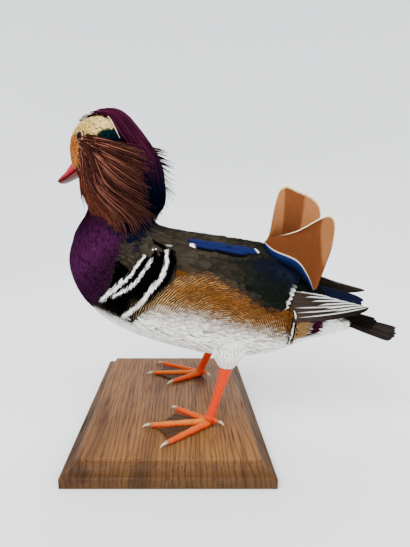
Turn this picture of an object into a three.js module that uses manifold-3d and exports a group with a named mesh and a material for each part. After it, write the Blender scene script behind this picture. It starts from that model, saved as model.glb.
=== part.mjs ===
// A mandarin duck drake as a mounted museum specimen on its wooden base board.
// Sizes are in millimetres. +Z is up, the bird faces -X, its left side is -Y,
// and the origin is the centre of the board's underside.
import * as THREE from "three";
import { mergeVertices } from "three/addons/utils/BufferGeometryUtils.js";
import Module from "manifold-3d";

const wasm = await Module();
wasm.setup();

// Driving sizes
const GAP = 0.3; // between neighbouring pieces that touch
const BOARD = { length: 154, depth: 203, height: 16.8, edge: 8.4, inset: 10.3 };
const MEDIAN_Y = -4; // the bird's median plane on the board
const NECK_AXIS_X = -52;
const HEAD_TURN = 36; // degrees, away from the left side
const TURN_FROM_Z = 180;
const TURN_TO_Z = 218;
const EYE = { radius: 5.2, x: -66.5, z: 252.3, out: 14.4 };
const BILL = { tipX: -119.5, tipZ: 217, tipWidth: 5.2, tipDepth: 3 };
const TOE = { root: 3.4, tip: 2.2, claw: 7.5 };

const { degToRad, lerp, smoothstep, clamp } = THREE.MathUtils;
const V = (x, y, z) => new THREE.Vector3(x, y, z);

// The body's sections from the undertail to the bill's root. Each is a ring through a dorsal
// point and a ventral point of the median plane, with its half width and how far its widest
// place lies below the middle, as a share of the half height.
const SECTIONS = [
  // dorsal x, z, ventral x, z, half width, low
  [163, 96, 163, 88, 5, 0],
  [150, 108, 148, 84, 15, 0],
  [131, 126, 128, 79.5, 24, 0],
  [109, 147, 107, 74, 34, 0.02],
  [84, 162, 85, 68.5, 41, 0.05],
  [57, 167.5, 60, 66, 45.5, 0.08],
  [30, 171.5, 31, 68, 48.5, 0.1],
  [6, 175, 2, 75, 49.5, 0.1],
  [-9, 179, -28, 84.5, 49, 0.1],
  [-15, 184, -56, 99, 46.5, 0.1],
  [-19, 189.5, -77, 119, 42.5, 0.12],
  [-22, 196, -87, 146, 37, 0.12],
  [-24, 204, -82, 171, 30.5, 0.08],
  [-25, 213, -71, 189, 24.5, 0.02],
  [-24.5, 223, -66, 200, 21, 0],
  [-24.5, 234, -66.5, 207, 19.5, 0],
  [-26, 246, -69, 212.5, 19, 0],
  [-31.5, 256, -72.5, 217, 19, 0],
  [-40, 264.5, -76, 220, 18.5, 0],
  [-51.5, 270, -78.5, 221.5, 17.8, 0.04],
  [-65.5, 271, -80.5, 222.5, 16.4, 0.08],
  [-79, 268.5, -82, 223, 14.8, 0.1],
  [-88.5, 262.5, -82.5, 223.5, 12.4, 0.12],
  [-93.5, 255, -83, 223.5, 10.2, 0.14],
  [-95.5, 245.5, -83.5, 223.5, 8.4, 0.12],
  [-96, 236.5, -84.5, 224, 7, 0],
];
const NECK_FROM = 12.5; // section where the torso ends and the neck starts
const HEAD_FROM = 15.5;
const HEAD_TO = SECTIONS.length - 1;

// A smooth value between a column's entries, at section number u.
function along(values, u) {
  const last = values.length - 1;
  const i = clamp(Math.floor(u), 0, last - 1);
  const t = u - i;
  const [a, b, c, d] = [-1, 0, 1, 2].map((k) => values[clamp(i + k, 0, last)]);
  return b + 0.5 * t * (c - a + t * (2 * a - 5 * b + 4 * c - d + t * (3 * (b - c) + d - a)));
}
const COLUMNS = [0, 1, 2, 3, 4, 5].map((k) => SECTIONS.map((s) => s[k]));

// A point of the straight body at section u and angle v, in degrees: 0 is the back's midline,
// 90 the left side and 180 the belly's midline.
function skin(u, v) {
  const [dx, dz, vx, vz, half, low] = COLUMNS.map((c) => along(c, u));
  const a = degToRad(v);
  const up = Math.cos(a) - low * Math.sin(a) ** 2;
  return V(
    (dx + vx) / 2 + (up * (dx - vx)) / 2,
    MEDIAN_Y - half * Math.sin(a),
    (dz + vz) / 2 + (up * (dz - vz)) / 2,
  );
}

function skinNormal(u, v) {
  const e = 0.02;
  const alongBody = skin(Math.min(u + e, HEAD_TO), v).sub(skin(Math.max(u - e, 0), v));
  const round = skin(u, v + 1).sub(skin(u, v - 1));
  return alongBody.cross(round).normalize();
}

const lifted = (u, v, lift) => skin(u, v).addScaledVector(skinNormal(u, v), lift);

// Turns a point of the straight neck or head about the neck's upright axis.
function turned(p) {
  const angle = degToRad(HEAD_TURN) * smoothstep(p.z, TURN_FROM_Z, TURN_TO_Z);
  const [x, y] = [p.x - NECK_AXIS_X, p.y - MEDIAN_Y];
  return V(
    NECK_AXIS_X + x * Math.cos(angle) + y * Math.sin(angle),
    MEDIAN_Y - x * Math.sin(angle) + y * Math.cos(angle),
    p.z,
  );
}

// Solids

function solidOf(geometry) {
  const bare = geometry.index ? geometry.toNonIndexed() : geometry.clone();
  bare.deleteAttribute("normal");
  bare.deleteAttribute("uv");
  const merged = mergeVertices(bare, 1e-4);
  return new wasm.Manifold(
    new wasm.Mesh({
      numProp: 3,
      vertProperties: merged.attributes.position.array,
      triVerts: new Uint32Array(merged.index.array),
    }),
  );
}

function closedGeometry(points, faces) {
  const volume = faces.reduce(
    (sum, [a, b, c]) => sum + points[a].dot(V(0, 0, 0).crossVectors(points[b], points[c])),
    0,
  );
  const outward = volume < 0 ? faces.map(([a, b, c]) => [a, c, b]) : faces;
  const geometry = new THREE.BufferGeometry().setFromPoints(points);
  return geometry.setIndex(outward.flat());
}

// A closed body through rings of equal count, with a fan over each end.
function loft(rings) {
  const n = rings[0].length;
  const points = rings.flat();
  const faces = [];
  for (let i = 0; i + 1 < rings.length; i++)
    for (let k = 0; k < n; k++) {
      const [a, b] = [i * n + k, i * n + ((k + 1) % n)];
      faces.push([a, b, b + n], [a, b + n, a + n]);
    }
  const ends = [
    [rings[0], 0, false],
    [rings.at(-1), (rings.length - 1) * n, true],
  ];
  for (const [ring, first, last] of ends) {
    const centre = ring.reduce((sum, p) => sum.add(p), V(0, 0, 0)).divideScalar(n);
    points.push(centre);
    const hub = points.length - 1;
    for (let k = 0; k < n; k++) {
      const [a, b] = [first + k, first + ((k + 1) % n)];
      faces.push(last ? [a, b, hub] : [b, a, hub]);
    }
  }
  return solidOf(closedGeometry(points, faces));
}

// A closed sheet between two grids of equal size, split alike on both faces.
function slab(upper, lower) {
  const [rows, cols] = [upper.length, upper[0].length];
  const points = [...upper.flat(), ...lower.flat()];
  const under = rows * cols;
  const faces = [];
  for (let i = 0; i + 1 < rows; i++)
    for (let k = 0; k + 1 < cols; k++) {
      const [a, d] = [i * cols + k, (i + 1) * cols + k];
      const [b, c] = [a + 1, d + 1];
      faces.push([a, b, c], [a, c, d], [a + under, c + under, b + under]);
      faces.push([a + under, d + under, c + under]);
    }
  const rim = [];
  for (let k = 0; k < cols; k++) rim.push(k);
  for (let i = 1; i < rows; i++) rim.push(i * cols + cols - 1);
  for (let k = cols - 2; k >= 0; k--) rim.push((rows - 1) * cols + k);
  for (let i = rows - 2; i > 0; i--) rim.push(i * cols);
  rim.forEach((a, j) => {
    const b = rim[(j + 1) % rim.length];
    faces.push([b, a, a + under], [b, a + under, b + under]);
  });
  return solidOf(closedGeometry(points, faces));
}

// The largest closed surface of a solid, without sealed hollows or loose scraps.
function whole(solid) {
  return solid.decompose().sort((a, b) => b.volume() - a.volume())[0];
}

// A solid cut clear of others.
function cleared(solid, ...others) {
  return whole(others.reduce((left, other) => left.subtract(other), solid));
}

// A solid with a gap's room above, below and on both sides of it.
function roomy(solid) {
  const shifts = [-GAP, GAP].flatMap((g) => [solid.translate([0, g, 0]), solid.translate([0, 0, g])]);
  return shifts.reduce((sum, s) => sum.add(s), solid);
}

function joined(solids) {
  return whole(solids.reduce((sum, s) => sum.add(s)));
}

const ringOf = (count, at) => Array.from({ length: count }, (_, k) => at((k / count) * 360));
const steps = (count, from, to) =>
  Array.from({ length: count + 1 }, (_, i) => lerp(from, to, i / count));

// The same random draws on every run.
let seed = 7;
function chance() {
  seed = (seed * 16807) % 2147483647;
  return seed / 2147483647;
}
const wobble = (amount) => (chance() * 2 - 1) * amount;

// Flesh: torso, neck and head are one form, parted by thin gaps.
const AROUND = 24;
const CUT = 0.025; // half a gap, in sections
const TAIL_TO = 1.5;
const PATCH_STEP = 0.5; // rows of the torso and of what lies on it, in sections

function fleshRows(from, to, step) {
  const inner = [];
  for (let u = Math.ceil((from + 0.1) / step) * step; u < to - 0.1; u += step) inner.push(u);
  return [from + CUT, ...inner, to - CUT];
}

function flesh(from, to, step, grow = 0) {
  const rows = fleshRows(from, to, step);
  return loft(rows.map((u) => ringOf(AROUND, (v) => turned(lifted(u, v, grow)))));
}

// A point of a curve through a few points of space.
function curved(points) {
  const curve = new THREE.CatmullRomCurve3(points.map((p) => V(...p)));
  return (t) => curve.getPoint(t);
}

// A thin vane about a path. It has a low ridge for its shaft, unless it is flat, and its edges
// bend down by their distance out, over a surface of the given radius.
function vane({ path, normal, half, thick, rows = 3, bend = 60, ridge = 0.3, flat = false }) {
  const upper = [];
  const lower = [];
  for (const t of steps(rows, 0, 1)) {
    const p = path(t);
    const ahead = path(Math.min(t + 0.02, 1)).sub(path(Math.max(t - 0.02, 0)));
    const n = normal(t).clone().projectOnPlane(ahead).normalize();
    const across = V(0, 0, 0).crossVectors(n, ahead).normalize();
    const w = half(t);
    const h = lerp(thick[0], thick[1], t) / 2;
    const at = (side, lift) =>
      p.clone().addScaledVector(across, side * w).addScaledVector(n, lift - (side * w) ** 2 / bend / 2);
    upper.push(flat ? [at(-1, h), at(1, h)] : [at(-1, h), at(0, h + ridge), at(1, h)]);
    lower.push(flat ? [at(-1, -h), at(1, -h)] : [at(-1, -h), at(0, -h), at(1, -h)]);
  }
  return slab(upper, lower);
}

// A feather's half width along it: broad with a round tip, or widest late with a narrow one.
const broad = (w, tip = 0.3) => (t) => w * (t < 0.75 ? lerp(0.7, 1, t / 0.75) : lerp(1, tip, (t - 0.75) * 4));
const hackled = (w) => (t) => w * (t < 0.65 ? lerp(0.4, 1, t / 0.65) : lerp(1, 0.2, (t - 0.65) / 0.35));

// A feather that follows the body, from one place on it to another. Lifts are in millimetres.
function bodyFeather(from, to, w, options = {}) {
  const place = (t) => [0, 1, 2].map((k) => lerp(from[k], to[k], t));
  return vane({
    path: (t) => turned(lifted(...place(t))),
    normal: (t) => {
      const [u, v] = place(t);
      return turned(lifted(u, v, 5)).sub(turned(skin(u, v)));
    },
    half: broad(w),
    thick: [1.2, 0.6],
    ...options,
  });
}

// A sheet over part of the body, its underside a gap above the skin.
function bodyPatch(uFrom, uTo, vFrom, vTo, thickness) {
  const [upper, lower] = [[], []];
  const rows = Math.round((uTo - uFrom) / PATCH_STEP);
  const cols = Math.round((vTo - vFrom) / (360 / AROUND));
  for (const u of steps(rows, uFrom, uTo)) {
    const vs = steps(cols, vFrom, vTo);
    lower.push(vs.map((v) => lifted(u, v, GAP)));
    const s = (u - uFrom) / (uTo - uFrom);
    upper.push(vs.map((v, k) => lifted(u, v, GAP + thickness(s, k / cols))));
  }
  return slab(upper, lower);
}

// Each mesh of the model, by name.
const bird = new THREE.Group();
const FINISH = {
  wood: [0x7a5230, 0.55],
  breast: [0x3a1e3e, 0.7],
  flank: [0xa8793a, 0.75],
  maroon: [0x4a2026, 0.6],
  crown: [0x2c1526, 0.45],
  rust: [0xa04a22, 0.6],
  olive: [0x4c4235, 0.75],
  sail: [0xb8622c, 0.65],
  grey: [0x57514b, 0.65],
  bill: [0xb8324a, 0.4],
  eye: [0x1c0f18, 0.08],
  leg: [0xe0632a, 0.5],
  claw: [0xb9a27c, 0.45],
};

function addPiece(name, solid, finish) {
  const mesh = solid.getMesh();
  const geometry = new THREE.BufferGeometry();
  geometry.setAttribute("position", new THREE.BufferAttribute(mesh.vertProperties, 3));
  geometry.setIndex(new THREE.BufferAttribute(mesh.triVerts, 1));
  const [color, roughness] = FINISH[finish];
  const material = new THREE.MeshStandardMaterial({ color, roughness, metalness: 0 });
  const piece = new THREE.Mesh(geometry, material);
  piece.name = name;
  bird.add(piece);
}

const SIDES = [
  ["left", 1],
  ["right", -1],
];
// v of a place on the left side or, mirrored, on the right
const sided = (v, side) => (side > 0 ? v : 360 - v);

// Base board: an oak plaque with a routed edge round a raised panel.
function baseBoard() {
  const frame = (inset, z) => {
    const [x, y] = [BOARD.length / 2 - inset, BOARD.depth / 2 - inset];
    return [V(-x, -y, z), V(x, -y, z), V(x, y, z), V(-x, y, z)];
  };
  const cove = steps(4, 0, 90).map((a) => {
    const [run, rise] = [BOARD.inset - 1.6, BOARD.height - BOARD.edge - 2];
    return frame(0.8 + run * Math.sin(degToRad(a)), BOARD.edge + 0.6 + rise * (1 - Math.cos(degToRad(a))));
  });
  return loft([
    frame(0, 0),
    frame(0, BOARD.edge),
    ...cove,
    frame(BOARD.inset, BOARD.height - 1),
    frame(BOARD.inset, BOARD.height),
  ]);
}
addPiece("base_board", baseBoard(), "wood");

// Flesh nodes
addPiece("torso", flesh(TAIL_TO, NECK_FROM, PATCH_STEP), "flank");
addPiece("neck", flesh(NECK_FROM, HEAD_FROM, PATCH_STEP), "maroon");

// Head, with a socket and a lid ring for each eye
function eyeAt(side) {
  return V(EYE.x, MEDIAN_Y - side * EYE.out, EYE.z);
}

function ball(centre, radius, detail) {
  return solidOf(new THREE.IcosahedronGeometry(radius, detail).translate(...turned(centre)));
}

function lidRing(side) {
  const centre = eyeAt(side);
  const out = V(-0.25, -side, 0.06).normalize();
  const across = V(1, 0, 0).projectOnPlane(out).normalize();
  const up = V(0, 0, 0).crossVectors(out, across);
  const [sections, corners, thick] = [12, 4, 1.2];
  const round = (from, a, b, radius, angle) =>
    from
      .clone()
      .addScaledVector(a, radius * Math.cos(degToRad(angle)))
      .addScaledVector(b, radius * Math.sin(degToRad(angle)));
  const middle = centre.addScaledVector(out, EYE.radius * 0.55);
  const rings = ringOf(sections, (g) => {
    const radial = round(V(0, 0, 0), across, up, 1, g);
    const spine = middle.clone().addScaledVector(radial, EYE.radius * 0.93);
    return ringOf(corners, (h) => turned(round(spine, radial, out, thick, h)));
  });
  return hoop(rings);
}

// A closed ring of sections, the last joined to the first.
function hoop(rings) {
  const n = rings[0].length;
  const faces = [];
  rings.forEach((_, i) => {
    const next = ((i + 1) % rings.length) * n;
    for (let k = 0; k < n; k++) {
      const l = (k + 1) % n;
      faces.push([i * n + k, i * n + l, next + l], [i * n + k, next + l, next + k]);
    }
  });
  return solidOf(closedGeometry(rings.flat(), faces));
}

let head = flesh(HEAD_FROM, HEAD_TO, PATCH_STEP);
for (const [name, side] of SIDES) {
  head = head.add(lidRing(side)).subtract(ball(eyeAt(side), EYE.radius + GAP, 2));
  addPiece(`eye_${name}`, ball(eyeAt(side), EYE.radius, 2), "eye");
}
addPiece("head", whole(head), "maroon");

// Bill: the upper half overhangs the lower one, with a line of mouth between them.
// A ring of it at a share t from the face to the tip, between two shares of its depth. The
// ridge of the upper half and the underside of the lower one sag a little on their way.
const RIDGE_SAG = 5;
const UNDER_SAG = 1.5;

function billSection(t, from, to) {
  const [rootX, rootTop, underX, rootUnder, rootHalf] = SECTIONS.at(-1);
  const sag = t * (1 - t);
  const top = [lerp(rootX, BILL.tipX, t), lerp(rootTop, BILL.tipZ + BILL.tipDepth, t) - RIDGE_SAG * sag];
  const low = [lerp(underX, BILL.tipX + 1, t), lerp(rootUnder, BILL.tipZ - 1.5, t) - UNDER_SAG * sag];
  const roundTip = Math.sqrt(1 - Math.max(t - 0.8, 0) ** 2 * 20);
  const half = lerp(rootHalf - 1, BILL.tipWidth, Math.min(t * 2, 1)) * roundTip;
  return ringOf(12, (a) => {
    const round = (Math.cos(degToRad(a)) + 1) / 2;
    const depth = lerp(to, from, round);
    const y = MEDIAN_Y - half * Math.sin(degToRad(a)) * (1 - 0.25 * round);
    return turned(V(lerp(top[0], low[0], depth), y, lerp(top[1], low[1], depth)));
  });
}

function billHalf(from, to, tip) {
  return loft(steps(8, 0.03, tip).map((t) => billSection(t, from, to)));
}
const NOSTRIL = { x: -104.5, z: 227.7, out: 4, radius: 1.2 };
const nostril = (side) => ball(V(NOSTRIL.x, MEDIAN_Y - side * NOSTRIL.out, NOSTRIL.z), NOSTRIL.radius, 1);
const MOUTH = [0.58, 0.66]; // the gape's place between ridge and underside
addPiece("bill_upper", cleared(billHalf(0, MOUTH[0], 1), nostril(1), nostril(-1)), "bill");
addPiece("bill_lower", billHalf(MOUTH[1], 1, 0.93), "bill");

// Crest: long crown and nape feathers, lying back over the head and hanging behind the neck.
// The rows run along the outline of the crest in the median plane.
const CREST_OUT = [
  [-84, 271],
  [-70, 275.2],
  [-54, 275.6],
  [-37, 272.5],
  [-24, 262],
  [-10, 247],
  [1, 232],
  [5, 216],
  [-1, 202],
  [-9, 189],
];
const CREST_HALF = 11;
const CREST_END = 7.5; // half width at the hanging tips

// The crest's straight outline, drawn in towards the head by a depth.
const crestLine = new THREE.SplineCurve(CREST_OUT.map((p) => new THREE.Vector2(...p)));
function crestPoint(t, sideways, depth) {
  const p = crestLine.getPoint(t);
  const d = crestLine.getTangent(t);
  const round = sideways ** 2 / 22;
  return V(p.x + d.y * (depth + round), MEDIAN_Y + sideways, p.y - d.x * (depth + round));
}

// One lock of the crest from its root to its tip, which ends at a share t of the outline.
function crestLock(from, to, sideFrom, sideTo, depthFrom, depthTo, w) {
  return vane({
    path: (t) =>
      turned(crestPoint(lerp(from, to, t), lerp(sideFrom, sideTo, t), lerp(depthFrom, depthTo, t))),
    normal: (t) => {
      const k = lerp(from, to, t);
      const sideways = lerp(sideFrom, sideTo, t);
      return turned(crestPoint(k, sideways * 1.3, -3)).sub(turned(crestPoint(k, sideways, 3)));
    },
    half: broad(w, 0.35),
    thick: [1.8, 0.7],
    rows: 4,
    bend: 25,
  });
}

function crest() {
  const locks = [];
  const rows = 3;
  for (let i = 0; i < rows; i++) {
    const from = 0.04 + 0.15 * i;
    for (const k of [-1, -0.35, 0.35, 1]) {
      const to = Math.min(0.68 + 0.15 * i - Math.abs(k) * 0.05 + wobble(0.03), 0.995);
      const depth = 1.2 + (rows - i) * 0.3;
      const sideFrom = k * lerp(5, CREST_HALF, i / rows);
      const sideTo = k * CREST_END + wobble(1);
      locks.push(crestLock(from, to, sideFrom, sideTo, depth, depth + i, 4.6));
    }
  }
  return cleared(joined(locks), flesh(NECK_FROM, HEAD_TO, PATCH_STEP, GAP));
}
addPiece("crest", crest(), "crown");

// Ruff: stiff hackles that fan out from each cheek, back, down and on to the breast.
// Places are x, z of the straight bird, and how far out from the median plane.
const RUFF = {
  roots: [[-60, 248, 18], [-59, 236, 19], [-57, 227, 19]],
  bulges: [[-36, 248, 21], [-38, 216, 26], [-58, 204, 22]],
  tips: [
    [2, 237, 14],
    [11, 222, 14],
    [3, 202, 17],
    [-9, 184, 24],
    [-20, 171, 33],
    [-36, 163, 37],
    [-52, 160, 35],
    [-62, 166, 29],
    [-66, 186, 18],
  ],
  locks: 10,
  half: 8.5,
};
const CHEEK = { x: -56, z: 236, long: 8, high: 11, out: 19.6 };

function ruff(side) {
  const [roots, bulges, tips] = [RUFF.roots, RUFF.bulges, RUFF.tips].map(curved);
  const locks = [];
  for (let layer = 0; layer < 2; layer++) {
    for (let i = 0; i < RUFF.locks / 2; i++) {
      const k = clamp((i + 0.5 * layer + wobble(0.2)) / (RUFF.locks / 2 - 0.5), 0, 1);
      const reach = layer ? 1 : 0.86;
      const [root, bulge, tip] = [roots(k), bulges(k), tips(k).lerp(roots(k), 1 - reach)];
      const lift = layer ? 0 : 1.5;
      const place = (p, out) => V(p.x, MEDIAN_Y - side * (p.z + out), p.y);
      const curve = new THREE.QuadraticBezierCurve3(
        place(root, 0.2),
        place(bulge, lift + 1),
        place(tip, lift),
      );
      locks.push(
        vane({
          path: (t) => turned(curve.getPoint(t)),
          normal: () => turned(V(-60, MEDIAN_Y - side * 40, 215)).sub(turned(V(-52, MEDIAN_Y, 210))),
          half: hackled(RUFF.half),
          thick: [1.8, 0.6],
          rows: 4,
          bend: 40,
          flat: true,
        }),
      );
    }
  }
  // the full cheek that the hackles start from
  const cheekRing = (r, out) =>
    ringOf(10, (a) => {
      const x = CHEEK.x + CHEEK.long * r * Math.cos(degToRad(a));
      return turned(V(x, MEDIAN_Y - side * out, CHEEK.z + CHEEK.high * r * Math.sin(degToRad(a))));
    });
  const domed = [0.15, 0.8, 1].map((r) => cheekRing(r, CHEEK.out - 3 * r * r));
  const cheek = loft([...domed, cheekRing(0.95, CHEEK.out - 7.6)]);
  return cleared(joined([cheek, ...locks]), flesh(NECK_FROM - 5, HEAD_TO, PATCH_STEP, GAP));
}

// Wings: a sheet over each side of the body, with tiers of coverts and secondaries rooted in
// it. Places are section, angle and lift.
const WING = { from: 4, to: 9.5, top: 30, bottom: 105 };
const TIERS = [
  // root section, length in sections, lift at the tip, half width, count, top and bottom angle
  [8.6, 1.8, 4.6, 6.5, 4, 42, 92],
  [7.3, 2, 5.2, 7, 5, 38, 98],
  [6, 2, 5.8, 7, 5, 38, 100],
  [4.8, 2, 6.6, 7, 5, 38, 98],
];
const TERTIALS = { root: 5.6, tip: 3, top: 27, bottom: 56, count: 3, half: 8 };

function wing(side) {
  const [a, b] = [sided(WING.top, side), sided(WING.bottom, side)];
  const sheet = bodyPatch(WING.from, WING.to, Math.min(a, b), Math.max(a, b), (s, t) =>
    0.8 + 3.2 * Math.sin(Math.PI * clamp(t, 0, 1)) * Math.sin(Math.PI * lerp(0.28, 1, s)),
  );
  const feathers = [];
  for (const [root, length, lift, half, count, top, bottom] of TIERS)
    for (let i = 0; i < count; i++) {
      const v = lerp(top, bottom, i / (count - 1));
      const reach = length * (1 - 0.35 * (i / count)) + wobble(0.1);
      feathers.push(
        bodyFeather([root, sided(v, side), 3], [root - reach, sided(v + 4, side), lift], half, {
          rows: 2,
          flat: true,
          thick: [1.4, 0.8],
        }),
      );
    }
  for (let i = 0; i < TERTIALS.count; i++) {
    const k = i / (TERTIALS.count - 1);
    const v = lerp(TERTIALS.top, TERTIALS.bottom, k);
    const [from, to] = [
      [TERTIALS.root, sided(v, side), 3],
      [TERTIALS.tip - 0.2 * k, sided(v + 6, side), 5.5 - k / 2],
    ];
    feathers.push(bodyFeather(from, to, TERTIALS.half, { rows: 3 }));
  }
  return joined([sheet, ...feathers]);
}

// Primaries: a bundle of long narrow quills from under the coverts to the wing tip.
const PRIMARIES = {
  left: { top: [97, -42, 127], bottom: [98, -46.5, 108], tips: [166, -24, 114], spread: 4 },
  right: { top: [98, 37, 138], bottom: [100, 43, 116], tips: [184, 9, 120], spread: 6 },
  count: 7,
  half: 3.4,
};

function primaries(name, side) {
  const { top, bottom, tips, spread } = PRIMARIES[name];
  const quills = [];
  for (let i = 0; i < PRIMARIES.count; i++) {
    const k = i / (PRIMARIES.count - 1);
    const from = V(...top).lerp(V(...bottom), k);
    const to = V(...tips).add(V(-26 * (1 - k) ** 1.3, side * -0.9 * i, spread * (0.5 - k)));
    const mid = from.clone().lerp(to, 0.5).add(V(0, -side * 4, 3.5 * (0.4 - k)));
    const curve = new THREE.QuadraticBezierCurve3(from, mid, to);
    quills.push(
      vane({
        path: (t) => curve.getPoint(t),
        normal: () => V(0.1, -side, 0.45),
        half: (t) => PRIMARIES.half * (t < 0.6 ? 1 : lerp(1, 0.3, (t - 0.6) / 0.4)),
        thick: [1.6, 0.7],
        rows: 3,
        bend: 18,
        flat: true,
      }),
    );
  }
  const [a, b] = [V(...top), V(...bottom)];
  const root = loft(
    [0, 1].map((t) =>
      ringOf(8, (g) =>
        a
          .clone()
          .lerp(b, 0.5 - 0.56 * Math.cos(degToRad(g)))
          .add(V(-3 + 9 * t, side * (1.3 * Math.sin(degToRad(g)) + 0.4), 0)),
      ),
    ),
  );
  return joined([root, ...quills]);
}

// Sails: the one broad feather that stands up from each wing. Its inner web is a fan between
// the shaft and the outer edge, and its narrow outer web lies along the wing.
const SAILS = {
  left: {
    shaft: [[79, -20, 166.5], [86, -27, 160.5], [103, -33, 153], [111.5, -36, 141], [116.5, -37, 128.5]],
    edge: [[84, -18, 170], [105, -22, 175.5], [133.5, -19, 189], [136.5, -24, 172], [119.5, -36, 130]],
    web: 9,
  },
  right: {
    shaft: [[87, 10, 164], [98, 21, 160], [111, 27, 152], [120, 30, 141], [125, 30, 128.5]],
    edge: [[90, 9, 170], [98.5, 15, 211], [113, 15, 212.5], [138.5, 17, 192.5], [128, 29, 130]],
    web: 8,
  },
};

function sail(name, side) {
  const { shaft, edge, web } = SAILS[name];
  const [along, out] = [curved(shaft), curved(edge)];
  const [rows, cols, thick] = [9, 4, 0.8];
  const grid = steps(rows, 0, 1).map((t) => {
    const [s, e] = [along(t), out(t)];
    const narrow = web * Math.sin(Math.PI * lerp(0.12, 0.98, t));
    const skirt = s.clone().add(V(-0.35, -side * 0.55, -0.8).multiplyScalar(narrow));
    const fan = steps(cols, 0, 1).map((k) =>
      s.clone().lerp(e, k).add(V(0, side * 5 * Math.sin(Math.PI * k) * Math.sin(Math.PI * t), 0)),
    );
    return [skirt, ...fan];
  });
  const normalAt = (i, k) => {
    const [a, b] = [grid[Math.max(i - 1, 0)][k], grid[Math.min(i + 1, rows)][k]];
    const [c, d] = [grid[i][Math.max(k - 1, 0)], grid[i][Math.min(k + 1, cols + 1)]];
    return b.clone().sub(a).cross(d.clone().sub(c)).normalize();
  };
  const offset = (lift) =>
    grid.map((row, i) => row.map((p, k) => p.clone().addScaledVector(normalAt(i, k), lift)));
  return slab(offset(thick / 2), offset(-thick / 2));
}

// The ruff, the sail and the primaries are each cut clear of the wing that they lie on.
for (const [name, side] of SIDES) {
  const folded = wing(side);
  const room = roomy(folded);
  const upright = cleared(sail(name, side), room);
  addPiece(`wing_${name}`, folded, "olive");
  addPiece(`ruff_${name}`, cleared(ruff(side), room), "rust");
  addPiece(`sail_${name}`, upright, "sail");
  addPiece(`primaries_${name}`, cleared(primaries(name, side), room, roomy(upright)), "grey");
}

// Tail: the last of the body with a fan of long feathers and the coverts over them.
const TAIL = { tip: [207, 86.5], root: [146, 103], count: 10, spread: 12, half: 6, length: 60 };

function tail() {
  const rump = flesh(0, TAIL_TO, PATCH_STEP);
  const feathers = [];
  const pitch = Math.atan2(TAIL.tip[1] - TAIL.root[1], TAIL.tip[0] - TAIL.root[0]);
  const fan = (count, spread, length, half, lift, roof) => {
    for (let i = 0; i < count; i++) {
      const k = (2 * i) / (count - 1) - 1;
      const yaw = degToRad(spread * k);
      const reach = length * (1 - 0.16 * k * k) + wobble(1.5);
      const root = V(TAIL.root[0], MEDIAN_Y + 5.5 * k, TAIL.root[1] + lift - roof * k * k);
      const aim = V(Math.cos(pitch) * Math.cos(yaw), Math.sin(yaw), Math.sin(pitch) - 0.06 * k * k);
      feathers.push(
        vane({
          path: (t) => root.clone().addScaledVector(aim, reach * t),
          normal: () => V(-Math.sin(pitch) * 0.6, 0.35 * k, 1),
          half: broad(half, 0.45),
          thick: [1.6, 0.8],
          rows: 2,
          bend: 40,
        }),
      );
    }
  };
  fan(TAIL.count, TAIL.spread, TAIL.length, TAIL.half, 0, 5);
  fan(6, 12, 34, 6.5, 4, 4);
  return joined([rump, ...feathers]);
}
addPiece("tail", tail(), "grey");

// Legs, toes, webs and claws
const LEGS = {
  left: {
    hip: [50, -31, 80],
    ankle: [47.5, -38.5, 64],
    foot: [33.5, -49.5],
    toes: { inner: [0.4, -22.1], middle: [-22.7, -53.2], outer: [-6.6, -80.4], hind: [40, -53.5] },
  },
  right: {
    hip: [40, 24, 82],
    ankle: [44, 33.5, 59.5],
    foot: [30.7, 44],
    toes: { inner: [-4.7, 22.2], middle: [-27.1, 46.4], outer: [-16.8, 75.2], hind: [36.8, 37] },
  },
};

// A round limb through places, each with its radius.
function limb(places, corners = 8) {
  const centres = places.map(([x, y, z]) => V(x, y, z));
  return loft(
    centres.map((c, i) => {
      const ahead = centres[Math.min(i + 1, centres.length - 1)].clone().sub(centres[Math.max(i - 1, 0)]);
      const a = V(0, 1, 0.1).projectOnPlane(ahead).normalize();
      const b = V(0, 0, 0).crossVectors(ahead, a).normalize();
      const radius = places[i][3];
      return ringOf(corners, (g) =>
        c
          .clone()
          .addScaledVector(a, radius * Math.cos(degToRad(g)))
          .addScaledVector(b, radius * Math.sin(degToRad(g))),
      );
    }),
  );
}

const SOLE = BOARD.height + GAP;
const ANKLE_HEIGHT = 7.8;
const HIND_RAISED = 3; // the hind toe stands clear of the board

// All that lies above a level at a place, or below it where above is -1.
function slice([x, y], z, above) {
  return solidOf(new THREE.BoxGeometry(60, 60, 60).translate(x, y, z + above * 30));
}

// The toe's centre line from the foot's middle to its tip, low on the board.
function toeAt(foot, tip, t) {
  const radius = lerp(TOE.root, TOE.tip, t);
  const knuckles = 0.35 * Math.sin(t * Math.PI * 3.5) ** 2;
  return [lerp(foot[0], tip[0], t), lerp(foot[1], tip[1], t), SOLE + radius, radius - 0.4 + knuckles];
}

function shortened(foot, tip, by) {
  const reach = Math.hypot(tip[0] - foot[0], tip[1] - foot[1]);
  return [0, 1].map((k) => tip[k] + ((foot[k] - tip[k]) * by) / reach);
}

function web(foot, a, b) {
  const rows = 4;
  const at = (k, t, z) => {
    const across = Math.sin(Math.PI * k);
    const reach = t * (0.96 - 0.05 * across);
    return V(
      lerp(foot[0], lerp(a[0], b[0], k), reach),
      lerp(foot[1], lerp(a[1], b[1], k), reach),
      SOLE + 1.6 + z + (1 - t) * 1.2,
    );
  };
  const sheet = (z) => steps(4, 0.12, 1).map((t) => steps(rows, 0, 1).map((k) => at(k, t, z)));
  return slab(sheet(0.45), sheet(-0.45));
}

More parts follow.
